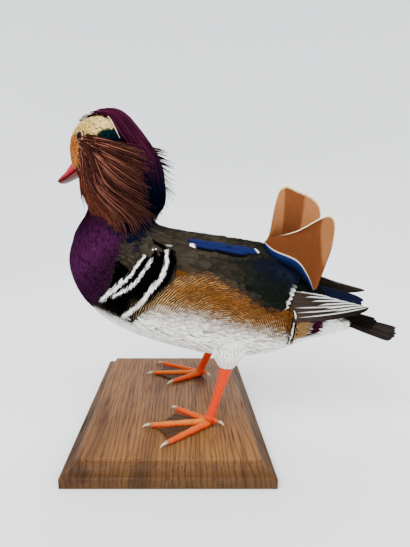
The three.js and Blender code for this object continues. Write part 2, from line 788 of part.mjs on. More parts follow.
function foot(name) {
  const { foot: root, toes } = LEGS[name];
  const [x, y] = root;
  const heel = limb([
    [x, y, SOLE + ANKLE_HEIGHT + 1, 4.2],
    [x - 1, y, SOLE + 4, 4.2],
    [x - 2, y, SOLE + 0.6, 2.6],
  ]);
  const [inner, middle, outer] = [toes.inner, toes.middle, toes.outer].map((tip) =>
    shortened(root, tip, TOE.claw),
  );
  const front = [inner, middle, outer].map((end) => limb(steps(4, 0, 1).map((t) => toeAt(root, end, t)), 6));
  const hind = limb(
    [0, 1].map((t) => {
      const [toeX, toeY, toeZ, radius] = toeAt(root, toes.hind, t);
      return [toeX, toeY, toeZ + HIND_RAISED, radius * 0.75];
    }),
    6,
  );
  return joined([heel, hind, ...front, web(root, inner, middle), web(root, middle, outer)]);
}

function claw(foot, tip, raised) {
  const start = shortened(foot, tip, raised ? -GAP : TOE.claw - GAP);
  const end = raised ? shortened(foot, tip, -5) : tip;
  const [middle, level, radius] = [shortened(end, start, 3), SOLE + TOE.tip + raised, TOE.tip - 0.6];
  const places = [
    [...start, level, radius],
    [...middle, level - 0.3, radius * 0.7],
    [...end, level - 1.8, 0.4],
  ];
  return limb(places, 6);
}

// The shank's radii, by shares of its length
const SHANK = [[-0.06, 4.8], [0.12, 5], [0.35, 4.1], [0.8, 3.4], [1.06, 4.2]];
const between = (a, b, t) => a.map((c, k) => lerp(c, b[k], t));

for (const [name] of SIDES) {
  const { hip, ankle, foot: root, toes } = LEGS[name];
  const sole = SOLE + ANKLE_HEIGHT;
  const [knee, end] = [between(ankle, hip, 0.45), between(ankle, hip, -0.18)];
  const thigh = limb([[...hip, 17], [...knee, 12], [...end, 5]], 12);
  const shank = SHANK.map(([t, radius]) => [...between(ankle, [...root, sole], t), radius]);
  addPiece(`foot_${name}`, cleared(foot(name), slice(root, sole, 1)), "leg");
  const body = flesh(TAIL_TO, NECK_FROM, PATCH_STEP, GAP);
  addPiece(`thigh_${name}`, cleared(thigh, body, slice(ankle, ankle[2], -1)), "flank");
  const ends = [slice(ankle, ankle[2] - GAP, 1), slice(root, sole + GAP, -1)];
  addPiece(`shank_${name}`, cleared(limb(shank), ...ends), "leg");
  for (const [toe, tip] of Object.entries(toes))
    addPiece(`claw_${name}_${toe}`, claw(root, tip, toe === "hind" ? HIND_RAISED : 0), "claw");
}

export default bird;
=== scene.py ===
"""A mandarin duck drake, mounted on a moulded oak board, in metres."""
import math

import bpy
import numpy as np
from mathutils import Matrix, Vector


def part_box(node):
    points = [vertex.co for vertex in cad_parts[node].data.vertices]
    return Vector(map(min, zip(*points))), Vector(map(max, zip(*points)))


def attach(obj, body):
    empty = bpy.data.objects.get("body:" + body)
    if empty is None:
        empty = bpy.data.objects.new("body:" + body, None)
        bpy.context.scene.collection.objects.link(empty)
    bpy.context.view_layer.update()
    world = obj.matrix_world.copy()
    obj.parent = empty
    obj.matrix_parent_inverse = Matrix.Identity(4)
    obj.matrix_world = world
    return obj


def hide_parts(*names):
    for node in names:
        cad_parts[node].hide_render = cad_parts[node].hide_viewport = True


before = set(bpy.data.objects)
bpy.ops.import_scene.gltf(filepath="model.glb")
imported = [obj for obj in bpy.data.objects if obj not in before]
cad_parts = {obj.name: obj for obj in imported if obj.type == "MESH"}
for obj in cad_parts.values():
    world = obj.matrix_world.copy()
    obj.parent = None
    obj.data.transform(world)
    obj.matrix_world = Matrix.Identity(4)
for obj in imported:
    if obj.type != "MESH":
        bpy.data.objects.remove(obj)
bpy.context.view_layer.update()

# Camera: a phone's wide lens, a third of a metre away and just above the bird's back.
# The photo is cropped, so its optical axis lies left of the middle.
IMAGE = (410, 547)
FOCAL_PIXELS = 379.0
AXIS_PIXEL_X = 179.7
LENS_PLACE = (0.0082, -0.3365, 0.1968)
LENS_DOWN = 10.26
camera_data = bpy.data.cameras.new("camera")
camera_data.sensor_width = 36.0
camera_data.lens = FOCAL_PIXELS / max(IMAGE) * camera_data.sensor_width
camera_data.shift_x = (IMAGE[0] / 2 - AXIS_PIXEL_X) / max(IMAGE)
camera_data.clip_start = 0.01
camera = bpy.data.objects.new("camera", camera_data)
camera.location = LENS_PLACE
camera.rotation_euler = (math.radians(90 - LENS_DOWN), 0, 0)
bpy.context.collection.objects.link(camera)
bpy.context.scene.camera = camera


# Studio: one seamless pale sweep, floor and wall in one, turned about the upright axis.
# It is open at the top, where the soft light comes in.
def mesh_piece(name, vertices, faces, smooth=True):
    """An object at the origin from arrays of vertices and faces. Faces are one array of
    polygons with equal numbers of corners, or a list of such arrays."""
    groups = [np.asarray(f) for f in (faces if isinstance(faces, list) else [faces])]
    mesh = bpy.data.meshes.new(name)
    flat = np.concatenate([g.ravel() for g in groups]).astype(np.int32)
    totals = np.concatenate([np.full(len(g), g.shape[1]) for g in groups]).astype(np.int32)
    starts = np.concatenate([[0], np.cumsum(totals)[:-1]]).astype(np.int32)
    mesh.vertices.add(len(vertices))
    mesh.vertices.foreach_set("co", np.asarray(vertices, np.float32).ravel())
    mesh.loops.add(len(flat))
    mesh.loops.foreach_set("vertex_index", flat)
    mesh.polygons.add(len(totals))
    mesh.polygons.foreach_set("loop_start", starts)
    mesh.polygons.foreach_set("loop_total", totals)
    mesh.polygons.foreach_set("use_smooth", np.full(len(totals), smooth))
    mesh.update(calc_edges=True)
    mesh.validate()
    piece = bpy.data.objects.new(name, mesh)
    bpy.context.collection.objects.link(piece)
    return piece


def grid_faces(rows, cols, around=False):
    """Quads of a rows by cols grid of vertices, joined up across its columns if around."""
    i, k = np.meshgrid(np.arange(rows - 1), np.arange(cols if around else cols - 1), indexing="ij")
    a, b = i * cols + k, i * cols + (k + 1) % cols
    return np.stack([a, b, b + cols, a + cols], -1).reshape(-1, 4)


def material(name, color=(0.8, 0.8, 0.8), roughness=0.5, **sockets):
    """A new material and its Principled shader, with constants set on the shader's sockets."""
    made = bpy.data.materials.new(name)
    made.use_nodes = True
    shader = made.node_tree.nodes["Principled BSDF"]
    shader.inputs["Base Color"].default_value = (*color, 1)
    shader.inputs["Roughness"].default_value = roughness
    for socket, value in sockets.items():
        shader.inputs[socket.replace("_", " ")].default_value = value
    return made, shader


def rgb(code):
    """Linear red, green and blue of an sRGB hex code."""
    c = np.array([int(code[k : k + 2], 16) for k in (0, 2, 4)]) / 255
    return tuple(np.where(c < 0.04045, c / 12.92, ((c + 0.055) / 1.055) ** 2.4).tolist())


SWEEP_RADIUS = 1.5
SWEEP_CURVE = 0.6
SWEEP_HEIGHT = 1.5
SWEEP_CENTRE = 0.001
bend = np.linspace(0, math.pi / 2, 14)
curved = [SWEEP_RADIUS - SWEEP_CURVE + SWEEP_CURVE * np.sin(bend), SWEEP_CURVE * (1 - np.cos(bend))]
profile = np.concatenate(
    [[[SWEEP_CENTRE, 0]], np.stack(curved, -1), [[SWEEP_RADIUS, SWEEP_HEIGHT]]]
)
turn = np.linspace(0, 2 * math.pi, 64, endpoint=False)
radius, height = profile[:, :1], profile[:, 1:]
sweep = np.stack([radius * np.cos(turn), radius * np.sin(turn), height + 0 * turn], -1)
studio = mesh_piece("studio_sweep", sweep.reshape(-1, 3), grid_faces(*sweep.shape[:2], True))
studio.data.materials.append(material("studio_paper", rgb("eeeff0"), 0.9)[0])

world = bpy.data.worlds.new("studio")
world.use_nodes = True
daylight = world.node_tree.nodes["Background"]
daylight.inputs["Color"].default_value = (0.95, 0.97, 1, 1)
daylight.inputs["Strength"].default_value = 1.25
bpy.context.scene.world = world


LIGHTS_AIM = (0, 0, 0.15)


def softbox(name, place, size, watts):
    """A round area light that faces the duck: tipped from straight down by the angle whose
    cosine is its height over its distance, and turned to its bearing."""
    lamp = bpy.data.lights.new(name, "AREA")
    lamp.shape = "DISK"
    lamp.size = size
    lamp.energy = watts
    holder = bpy.data.objects.new(name, lamp)
    holder.location = place
    away = np.array(place) - np.array(LIGHTS_AIM)
    tip = math.acos(away[2] / np.linalg.norm(away))
    holder.rotation_euler = (tip, 0, math.atan2(away[1], away[0]) + math.pi / 2)
    bpy.context.collection.objects.link(holder)


softbox("key_light", (-0.5, -0.7, 1.1), 0.9, 22)
softbox("fill_light", (0.8, -0.5, 0.7), 0.8, 6)
softbox("rim_light", (0.2, 0.9, 1.0), 0.9, 11)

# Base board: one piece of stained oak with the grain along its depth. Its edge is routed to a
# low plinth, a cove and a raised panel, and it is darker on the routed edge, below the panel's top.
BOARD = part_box("base_board")
BOARD_HALF = np.array(BOARD[1][:2])
BOARD_TOP = BOARD[1][2]
EDGE_HEIGHT = 0.0084
PANEL_INSET = 0.0103
ARRIS = 0.0005
LEDGE = 0.0008


def routed_edge():
    """The board's edge as inset and height, from the underside up and in to the panel: a low
    plinth, a cove that is the quarter of an ellipse, and the panel's eased arris."""
    cove = np.linspace(0, math.pi / 2, 9)
    run, rise = PANEL_INSET - 2 * LEDGE, BOARD_TOP - EDGE_HEIGHT - 4 * ARRIS
    hollow = [LEDGE + run * np.sin(cove), EDGE_HEIGHT + ARRIS + rise * (1 - np.cos(cove))]
    plinth = [(6 * ARRIS, 0), (ARRIS, 0), (0, ARRIS), (0, EDGE_HEIGHT - ARRIS), (ARRIS, EDGE_HEIGHT)]
    panel = [
        (PANEL_INSET - 0.4 * ARRIS, BOARD_TOP - 2 * ARRIS),
        (PANEL_INSET, BOARD_TOP - ARRIS),
        (PANEL_INSET + ARRIS, BOARD_TOP),
        (PANEL_INSET + 4 * ARRIS, BOARD_TOP),
    ]
    return np.concatenate([plinth, np.stack(hollow, -1), panel])


def closed_tube(rows, cols, turned_over=False):
    """Faces of rings of points, rows by cols, with both ends closed, turned over for rings
    that run the other way round."""
    first = np.arange(cols)[None, ::-1]
    faces = [grid_faces(rows, cols, True), first, first[:, ::-1] + (rows - 1) * cols]
    return [f[:, ::-1] for f in faces] if turned_over else faces


edge = routed_edge()
SIDE_POINTS = 24
side = np.linspace(-1, 1, SIDE_POINTS, endpoint=False)
ones = np.ones_like(side)
four_sides = [(side, -ones), (ones, side), (-side, ones), (-ones, -side)]
outline = np.concatenate([np.stack(pair, -1) for pair in four_sides])
rings = outline[None] * (BOARD_HALF[None] - edge[:, :1])[:, None]
rings = np.concatenate([rings, np.broadcast_to(edge[:, None, 1:], (*rings.shape[:2], 1))], -1)
board_faces = closed_tube(len(edge), len(outline))
board = mesh_piece("oak_board", rings.reshape(-1, 3), board_faces, smooth=False)


def node(tree, kind, **settings):
    """A new shader node. Settings are its properties, or the values of its inputs."""
    made = tree.nodes.new(kind)
    for key, value in settings.items():
        if hasattr(made, key):
            setattr(made, key, value)
        else:
            made.inputs[key.replace("_", " ")].default_value = value
    return made


def ramp(tree, source, stops, interpolation="LINEAR"):
    """A colour ramp fed by a socket, through stops of place and colour."""
    made = tree.nodes.new("ShaderNodeValToRGB")
    made.color_ramp.interpolation = interpolation
    while len(made.color_ramp.elements) < len(stops):
        made.color_ramp.elements.new(0.5)
    for element, (place, color) in zip(made.color_ramp.elements, stops):
        element.position = place
        element.color = (*(color if isinstance(color, tuple) else (color,) * 3), 1)
    tree.links.new(source, made.inputs["Fac"])
    return made.outputs["Color"]


def mix(tree, fac, a, b, blend="MIX"):
    """A colour mix. Each of fac, a and b is a socket or a constant. The node's sockets for
    colours are its inputs 6 and 7 and its output 2."""
    made = tree.nodes.new("ShaderNodeMix")
    made.data_type = "RGBA"
    made.blend_type = blend
    for place, value in ((0, fac), (6, a), (7, b)):
        if isinstance(value, bpy.types.NodeSocket):
            tree.links.new(value, made.inputs[place])
        else:
            made.inputs[place].default_value = value if place == 0 else (*value, 1)
    return made.outputs[2]


def bump(tree, height, strength, distance):
    """A bump node's normal from a height socket."""
    made = node(tree, "ShaderNodeBump", Strength=strength, Distance=distance)
    tree.links.new(height, made.inputs["Height"])
    return made.outputs["Normal"]


def object_place(tree, stretch=(1, 1, 1)):
    """The socket of Object coordinates, stretched per axis."""
    mapping = node(tree, "ShaderNodeMapping", Scale=stretch)
    tree.links.new(node(tree, "ShaderNodeTexCoord").outputs["Object"], mapping.inputs["Vector"])
    return mapping.outputs["Vector"]


def object_noise(tree, scale, stretch=(1, 1, 1), detail=4, roughness=0.55, distortion=0.0):
    """Noise on Object coordinates, stretched per axis."""
    noise = node(tree, "ShaderNodeTexNoise", Scale=scale, Detail=detail, Roughness=roughness)
    noise.inputs["Distortion"].default_value = distortion
    tree.links.new(object_place(tree, stretch), noise.inputs["Vector"])
    return noise.outputs["Fac"]


def along_axis(tree, axis):
    """The socket of one of the Object coordinates."""
    split = node(tree, "ShaderNodeSeparateXYZ")
    tree.links.new(object_place(tree), split.inputs[0])
    return split.outputs[axis]


oak, shader = material("stained_oak", roughness=0.55, Specular_IOR_Level=0.12)
tree = oak.node_tree
figure = object_noise(tree, 22, (3.2, 0.35, 1.5), 3, 0.5, 0.6)
pores = object_noise(tree, 420, (2.4, 0.09, 1), 2, 0.6)
growth = node(tree, "ShaderNodeTexWave", Scale=84.0, Distortion=20.0, Detail=3.0, Detail_Scale=0.35)
tree.links.new(object_place(tree, (1, 0.16, 0.5)), growth.inputs["Vector"])
shade = object_noise(tree, 9, (1.2, 0.5, 1), 2)
stain = [(0.3, rgb("5e3a20")), (0.45, rgb("80552f")), (0.56, rgb("96663a")), (0.7, rgb("6c4427"))]
grain = ramp(tree, figure, stain)
toned = mix(tree, 0.35, grain, ramp(tree, shade, [(0.35, rgb("4d2f18")), (0.65, rgb("9a6d3c"))]))
darker_edge = [(EDGE_HEIGHT, 0.3), (BOARD_TOP - 3 * ARRIS, 0.42), (BOARD_TOP, 1.0)]
toned = mix(tree, 1.0, toned, ramp(tree, along_axis(tree, "Z"), darker_edge), "MULTIPLY")
late_wood = ramp(tree, growth.outputs["Fac"], [(0.05, 0.5), (0.35, 1.0)])
toned = mix(tree, 0.8, toned, late_wood, "MULTIPLY")
pored = mix(tree, ramp(tree, pores, [(0.56, 0.0), (0.68, 0.75)]), toned, rgb("2b190d"))
tree.links.new(pored, shader.inputs["Base Color"])
tree.links.new(ramp(tree, pores, [(0.4, 0.45), (0.7, 0.7)]), shader.inputs["Roughness"])
tree.links.new(bump(tree, pores, 0.25, 0.0003), shader.inputs["Normal"])
board.data.materials.append(oak)
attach(board, "root")
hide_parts("base_board")

# Skin: the one form under the plumage, from the undertail to the bill's root. It is a loft of
# upright rings at the tail that tip over to level ones in the neck, with the head then turned.
MM = 0.001
MEDIAN_Y = -4.0
HEAD_TURN = 36.0
TURN_AXIS_X = -52.0
TURN_Z = (180.0, 218.0)
OUTWARD = 3
SECTIONS = np.array(
    [
        # dorsal x, z, ventral x, z, half width, low
        [163, 96, 163, 88, 5, 0],
        [150, 108, 148, 84, 15, 0],
        [131, 126, 128, 79.5, 24, 0],
        [109, 147, 107, 74, 34, 0.02],
        [84, 162, 85, 68.5, 41, 0.05],
        [57, 167.5, 60, 66, 45.5, 0.08],
        [30, 171.5, 31, 68, 48.5, 0.1],
        [6, 175, 2, 75, 49.5, 0.1],
        [-9, 179, -28, 84.5, 49, 0.1],
        [-15, 184, -56, 99, 46.5, 0.1],
        [-19, 189.5, -77, 119, 42.5, 0.12],
        [-22, 196, -87, 146, 37, 0.12],
        [-24, 204, -82, 171, 30.5, 0.08],
        [-25, 213, -71, 189, 24.5, 0.02],
        [-24.5, 223, -66, 200, 21, 0],
        [-24.5, 234, -66.5, 207, 19.5, 0],
        [-26, 246, -69, 212.5, 19, 0],
        [-31.5, 256, -72.5, 217, 19, 0],
        [-40, 264.5, -76, 220, 18.5, 0],
        [-51.5, 270, -78.5, 221.5, 17.8, 0.04],
        [-65.5, 271, -80.5, 222.5, 16.4, 0.08],
        [-79, 268.5, -82, 223, 14.8, 0.1],
        [-88.5, 262.5, -82.5, 223.5, 12.4, 0.12],
        [-93.5, 255, -83, 223.5, 10.2, 0.14],
        [-95.5, 245.5, -83.5, 223.5, 8.4, 0.12],
        [-96, 236.5, -84.5, 224, 7, 0],
    ]
)
LAST = len(SECTIONS) - 1
SMALL_STEP = 0.02


def section(u):
    """The section table at section number u, along a Catmull-Rom curve: a cubic through each
    two rows, whose slope at a row is half the way from the row before to the row after."""
    i = np.clip(np.floor(u).astype(int), 0, LAST - 1)
    t = (u - i)[..., None]
    a, b, c, d = (SECTIONS[np.clip(i + k, 0, LAST)] for k in (-1, 0, 1, 2))
    return b + 0.5 * t * (c - a + t * (2 * a - 5 * b + 4 * c - d + t * (3 * (b - c) + d - a)))


def skin(u, v):
    """A point of the straight body, in millimetres. v is degrees round it: 0 is the back, 90
    the left side and 180 the belly. It lies on an ellipse through the section's two median
    points, whose widest place is a little low."""
    dx, dz, vx, vz, half, low = np.moveaxis(section(u), -1, 0)
    a = np.radians(v)
    up = np.cos(a) - low * np.sin(a) ** 2
    x, z = (dx + vx) / 2 + up * (dx - vx) / 2, (dz + vz) / 2 + up * (dz - vz) / 2
    return np.stack([x, MEDIAN_Y - half * np.sin(a), z], -1)


def unit(vectors):
    """Vectors of length one."""
    return vectors / np.maximum(np.linalg.norm(vectors, axis=-1, keepdims=True), 1e-9)


def skin_frame(u, v):
    """The change of place per section and per degree, and the outward normal."""
    ahead, behind = np.minimum(u + SMALL_STEP, LAST), np.maximum(u - SMALL_STEP, 0)
    per_u = (skin(ahead, v) - skin(behind, v)) / (2 * SMALL_STEP)
    per_v = (skin(u, v + 1) - skin(u, v - 1)) / 2
    return per_u, per_v, unit(np.cross(per_u, per_v))


def lifted(u, v, lift):
    """A point that far in millimetres out from the skin."""
    return skin(u, v) + skin_frame(u, v)[2] * np.asarray(lift)[..., None]


def turned(p):
    """Points of the straight neck and head, turned about an upright axis by an angle that
    grows smoothly with height, in metres."""
    t = np.clip((p[..., 2] - TURN_Z[0]) / (TURN_Z[1] - TURN_Z[0]), 0, 1)
    angle = np.radians(HEAD_TURN) * t * t * (3 - 2 * t)
    x, y = p[..., 0] - TURN_AXIS_X, p[..., 1] - MEDIAN_Y
    new_x = TURN_AXIS_X + x * np.cos(angle) + y * np.sin(angle)
    new_y = MEDIAN_Y - x * np.sin(angle) + y * np.cos(angle)
    return MM * np.stack([new_x, new_y, p[..., 2]], -1)


def from_back(v):
    """Degrees down from the back on either side, from 0 to 180."""
    return np.minimum(np.mod(v, 360), 360 - np.mod(v, 360))


def over_skin(u, v, rise):
    """Places on the turned bird at a rise in millimetres, and the ways out from the skin."""
    place = turned(lifted(u, v, rise))
    return place, turned(lifted(u, v, rise + OUTWARD)) - place


def unwrapped(u, v):
    """Places on the skin's own unwrap: the share of the sections, and of the way round."""
    return np.stack([u / LAST, np.mod(v, 360) / 360], -1)


# Markings of the drake, as bands over the body. Each border is a section number that changes
# with the angle down from the back, or an angle that changes along the body.
def soft(value, width):
    """0 to 1 across a border, smoothly over the given width."""
    t = np.clip(value / width * 0.5 + 0.5, 0, 1)
    return t * t * (3 - 2 * t)


def blend(under, over, share):
    """Colours laid over others by a share."""
    return under + (np.asarray(over) - under) * np.asarray(share)[..., None]


def flat(color, like):
    """One colour over an array of places."""
    return np.broadcast_to(np.array(color), (*np.shape(like), 3)).copy()


PURPLE, PURPLE_DARK = rgb("43163d"), rgb("1b0a18")
OLIVE, OLIVE_DARK = rgb("39332a"), rgb("17140f")
GOLD, GOLD_DARK = rgb("663c17"), rgb("43280d")
WHITE, BLACK = rgb("fffdf6"), rgb("030304")
MAROON, BUFF = rgb("2a0819"), rgb("80603a")
GREEN_BLACK = rgb("0a100d")
ORANGE_FACE, CREAM = rgb("b06e36"), rgb("f8de8c")
OCHRE = rgb("c08c3a")
CHEEK, CHEEK_DARK = rgb("2e0d0a"), rgb("100404")
CROWN_PURPLE, CROWN_GREEN = rgb("260a18"), rgb("070b0c")
TEAL, NAPE_BLUE = rgb("072326"), rgb("05081a")
REAR_BAR = (
    [38, 42, 54, 68, 75, 84, 97, 107, 122],
    [7.4, 7.4, 7.32, 7.46, 7.65, 7.87, 8.07, 8.3, 8.5],
)
FRONT_BAR = [38, 43, 52, 65, 76, 87, 105, 122], [7.8, 7.85, 8.32, 8.55, 8.68, 8.95, 9.22, 9.35]
INNER_BAR = [50, 59, 68, 78, 88, 101, 118], [7.95, 8.02, 8.2, 8.37, 8.62, 8.97, 9.2]
BREAST_EDGE = (
    [0, 40, 53, 62, 72, 86, 99, 122, 180],
    [13.2, 11.4, 10.2, 10.05, 9.75, 9.4, 9.3, 9.4, 9.7],
)
FLANK_TOP = [3.3, 4.5, 5.4, 6.0, 6.5, 6.85, 7.1, 7.5, 7.9], [86, 88, 70, 62, 62, 66, 71, 82, 95]
FLANK_LOW = (
    [2, 3.4, 4.55, 5.45, 6.25, 7.25, 8, 8.6, 9.6],
    [92, 124, 111, 103, 96, 98, 107, 125, 150],
)


def body_colors(u, v, noise):
    """Linear colours of the body's plumage at places on the skin, and the share of fine
    waved barring. Noise, from -1 to 1, breaks up the borders feather by feather."""
    down = from_back(v)
    un = u + noise * 0.05
    vn = down + noise * 2.5
    color = blend(flat(OLIVE, u), OLIVE_DARK, 0.75 * soft(noise + 0.2, 1.4))
    color = blend(color, GREEN_BLACK, 0.8 * soft(4.9 - un, 1.2) + 0.2 * soft(3.6 - un, 0.5))
    flank = soft(vn - np.interp(un, *FLANK_TOP), 4) * soft(u - 3.35, 0.03) * soft(8.2 - un, 0.3)
    gold = blend(flat(GOLD, u), GOLD_DARK, soft(np.sin(noise * 9) + 0.1, 1.6) * 0.7)
    color = blend(color, gold, flank)
    belly = soft(vn - np.interp(un, *FLANK_LOW), 14)
    color = blend(color, WHITE, belly)
    edge_bars = soft(4 - np.abs(vn - np.interp(un, *FLANK_TOP) - 3), 4) * soft(un - 5.4, 1)
    low_bars = soft(vn - np.interp(un, *FLANK_LOW) + 14, 12)
    waved = flank * np.clip(0.6 * edge_bars + low_bars + 0.7 * soft(u - 7.2, 0.6), 0.05, 1)
    waved = waved * (1 - belly) * soft(u - 3.6, 0.3) * soft(u - 3.6, 0.05)
    # bars that close the flank, then buff, maroon and the white undertail
    tail_side = soft(down - 80, 5) * soft(132 - down, 6)
    color = blend(color, BUFF, tail_side * soft(3.3 - u, 0.03) * soft(u - 2.75, 0.1))
    color = blend(color, BLACK, tail_side * soft(3.5 - u, 0.015) * soft(u - 3.3, 0.015))
    color = blend(color, WHITE, tail_side * soft(3.44 - u, 0.012) * soft(u - 3.38, 0.012))
    color = blend(color, MAROON, tail_side * soft(2.75 - un, 0.1) * soft(un - 2.1, 0.1))
    color = blend(color, WHITE, soft(vn - 94, 8) * soft(2.1 - un, 0.15))
    # breast, glossy purple down to the white
    breast = np.interp(down, *BREAST_EDGE)
    dusky = np.maximum(soft(un - 11.2, 1.6), soft(10.5 - un, 0.7) * soft(down - 58, 20))
    purple = blend(flat(PURPLE, u), PURPLE_DARK, 0.75 * dusky + 0.25 * soft(noise, 1))
    color = blend(color, purple, soft(un - breast, 0.12))
    # shoulder bars: black, with a clean white bar behind and a broken one before
    rear, front, inner = (np.interp(down, *bar) for bar in (REAR_BAR, FRONT_BAR, INNER_BAR))
    span = soft(down - 40, 3) * soft(128 - down, 8)
    reach = np.maximum(front + 0.08, np.where(down > 74, breast, 0))
    color = blend(color, BLACK, span * soft(u - rear + 0.33, 0.06) * soft(reach - u, 0.08))

    def stripe(at, half, rough):
        """1 within half a stripe's width of its section number, and 0 outside."""
        return soft(half - np.abs(u + noise * rough - at), 0.035)

    color = blend(color, WHITE, span * soft(122 - down, 4) * stripe(rear, 0.07, 0.02))
    color = blend(color, WHITE, span * stripe(front, 0.065, 0.08) * soft(118 - down, 6))
    color = blend(color, WHITE, soft(down - 56, 3) * soft(104 - down, 4) * stripe(inner, 0.045, 0.08))
    return color, waved


# The face's borders: the orange face's rear edge by height, the lower edge of the cream stripe
# by place along the head, and how far the crown comes down at each section.
FACE_EDGE = [215, 226, 237, 246, 256], [-68, -61, -62, -65, -62]
STRIPE_LOW = [-76, -66, -61, -52, -44, -34, -25], [256, 249, 247.5, 250, 256, 256, 251]
CROWN_EDGE = [15, 17, 19, 20.5, 21.5, 23], [32, 24, 20, 21, 24, 20]


def head_colors(u, v, noise):
    """Linear colours of the head and neck, by side-view places on the straight bird."""
    down = from_back(v)
    p = skin(u, v)
    x, z = p[..., 0] + noise * 0.7, p[..., 2] + noise * 0.7
    color = blend(flat(CHEEK, u), CHEEK_DARK, soft(noise, 1.5))
    color = blend(color, PURPLE_DARK, soft(190 - z, 8))
    color = blend(color, BLACK, 0.85 * soft(x + 45, 12) * soft(235 - z, 10))
    color = blend(color, ORANGE_FACE, soft(np.interp(z, *FACE_EDGE) - x, 1.6) * soft(z - 221, 3))
    stripe_low = np.interp(x, *STRIPE_LOW)
    cream = soft(z - stripe_low, 2) * soft(x + 92, 5)
    color = blend(color, CREAM, cream)
    color = blend(color, OCHRE, 0.7 * cream * soft(-52 - x, 20) * soft(264 - z, 12))
    behind_eye = soft(x + 45, 2) * soft(stripe_low - z + 0.5, 1) * soft(z - stripe_low + 12, 2)
    color = blend(color, TEAL, behind_eye)
    on_crown = soft(np.interp(u, *CROWN_EDGE) + noise * 2 - down, 3)
    fleck = soft(3 - np.abs(down - np.interp(u, *CROWN_EDGE) - 2), 2) * soft(u - 20.6, 0.4)
    color = blend(color, WHITE, 0.9 * fleck)
    color = blend(color, CROWN_PURPLE, on_crown)
    color = blend(color, CROWN_GREEN, on_crown * soft(u - 20.8, 0.6))
    color = blend(color, NAPE_BLUE, soft(75 - down, 14) * soft(17 - u, 1))
    return color


# where the head's colours take over, by the angle down from the back
NECK_BASE = [0, 20, 40, 60, 80, 95, 180], [8.2, 8.6, 9.2, 10.3, 12.0, 12.3, 12.3]


def plumage(u, v, noise):
    """Colours and barring of the whole skin: the body's below the neck, the head's above."""
    body, waved = body_colors(u, v, noise)
    down = from_back(v)
    share = soft(u - np.interp(down, *NECK_BASE) - noise * 0.2, 0.4)
    return blend(body, head_colors(u, v, noise), share), waved * (1 - share)


def paint(piece, colors, waved):
    """Writes colours, with the barring share as their alpha, to the point attribute tint."""
    attribute = piece.data.color_attributes.new("tint", "FLOAT_COLOR", "POINT")
    values = np.concatenate([colors.reshape(-1, 3), waved.reshape(-1, 1)], -1)
    attribute.data.foreach_set("color", values.astype(np.float32).ravel())


def uv_map(piece, name, per_vertex):
    """Writes a UV map from one place per vertex."""
    layer = piece.data.uv_layers.new(name=name)
    corners = np.empty(len(piece.data.loops), np.int32)
    piece.data.loops.foreach_get("vertex_index", corners)
    layer.uv.foreach_set("vector", per_vertex.reshape(-1, 2)[corners].astype(np.float32).ravel())


def node_group(name, inputs, outputs):
    """A shader node group with named sockets, and its two end nodes."""
    made = bpy.data.node_groups.new(name, "ShaderNodeTree")
    for direction, sockets in (("INPUT", inputs), ("OUTPUT", outputs)):
        for label, kind in sockets.items():
            made.interface.new_socket(label, in_out=direction, socket_type=kind)
    return made, made.nodes.new("NodeGroupInput"), made.nodes.new("NodeGroupOutput")


def calculate(tree, operation, *values):
    """A math node on sockets or constants."""
    made = node(tree, "ShaderNodeMath", operation=operation)
    for place, value in enumerate(values):
        if isinstance(value, bpy.types.NodeSocket):
            tree.links.new(value, made.inputs[place])
        else:
            made.inputs[place].default_value = value
    return made.outputs[0]


def barb_group():
    """Barbs that slant forward from a feather's shaft, and the shaft's own line. It reads a
    place in centimetres: across from the shaft, and along it."""
    made, start, end = node_group(
        "feather_barbs",
        {"Place": "NodeSocketVector", "Per Centimetre": "NodeSocketFloat", "Shaft": "NodeSocketFloat"},
        {"Height": "NodeSocketFloat", "Shaft Mask": "NodeSocketFloat"},
    )
    split = node(made, "ShaderNodeSeparateXYZ")
    made.links.new(start.outputs["Place"], split.inputs[0])
    across, along = split.outputs["X"], split.outputs["Y"]
    turns = calculate(made, "MULTIPLY", start.outputs["Per Centimetre"], 2 * math.pi)
    phase = calculate(made, "MULTIPLY", calculate(made, "SUBTRACT", along, across), turns)
    height = calculate(made, "MULTIPLY_ADD", calculate(made, "SINE", phase), 0.5, 0.5)
    share = calculate(made, "DIVIDE", across, start.outputs["Shaft"])
    mask = calculate(made, "SUBTRACT", 1.0, calculate(made, "MINIMUM", share, 1.0))
    made.links.new(height, end.inputs["Height"])
    made.links.new(mask, end.inputs["Shaft Mask"])
    return made


BARBS = barb_group()


def plume_material(name, roughness, barbs=9.0, relief=0.2, shaft=0.03, shaft_color=None, gloss=0.0):
    """Feather finish: the tint attribute with a fine mottle, barbs across each vane, and the
    shaft in its own colour where one is given. Barbs are counted per centimetre, and shaft is
    its half width in centimetres. It gives the material, its shader, and the sockets of the
    barring share and of the colour."""
    made, shader = material(
        name, roughness=roughness, Specular_IOR_Level=0.0, Coat_Weight=gloss, Coat_Roughness=0.35
    )
    tree = made.node_tree
    tint = node(tree, "ShaderNodeAttribute", attribute_name="tint")
    mottle = ramp(tree, object_noise(tree, 420, (1, 1, 1), 3), [(0.3, 0.72), (0.65, 1.0)])
    color = mix(tree, 0.35, tint.outputs["Color"], mottle, "MULTIPLY")
    place = node(tree, "ShaderNodeUVMap", uv_map="vane")
    detail = node(tree, "ShaderNodeGroup", node_tree=BARBS, Per_Centimetre=barbs, Shaft=shaft)
    tree.links.new(place.outputs["UV"], detail.inputs["Place"])
    lines = ramp(tree, detail.outputs["Height"], [(0.0, 0.72), (0.5, 1.0)])
    color = mix(tree, 0.35, color, lines, "MULTIPLY")
    if shaft_color:
        color = mix(tree, detail.outputs["Shaft Mask"], color, shaft_color)
    tree.links.new(bump(tree, detail.outputs["Height"], relief, 0.0002), shader.inputs["Normal"])
    tree.links.new(color, shader.inputs["Base Color"])
    return made, shader, tint.outputs["Alpha"], color


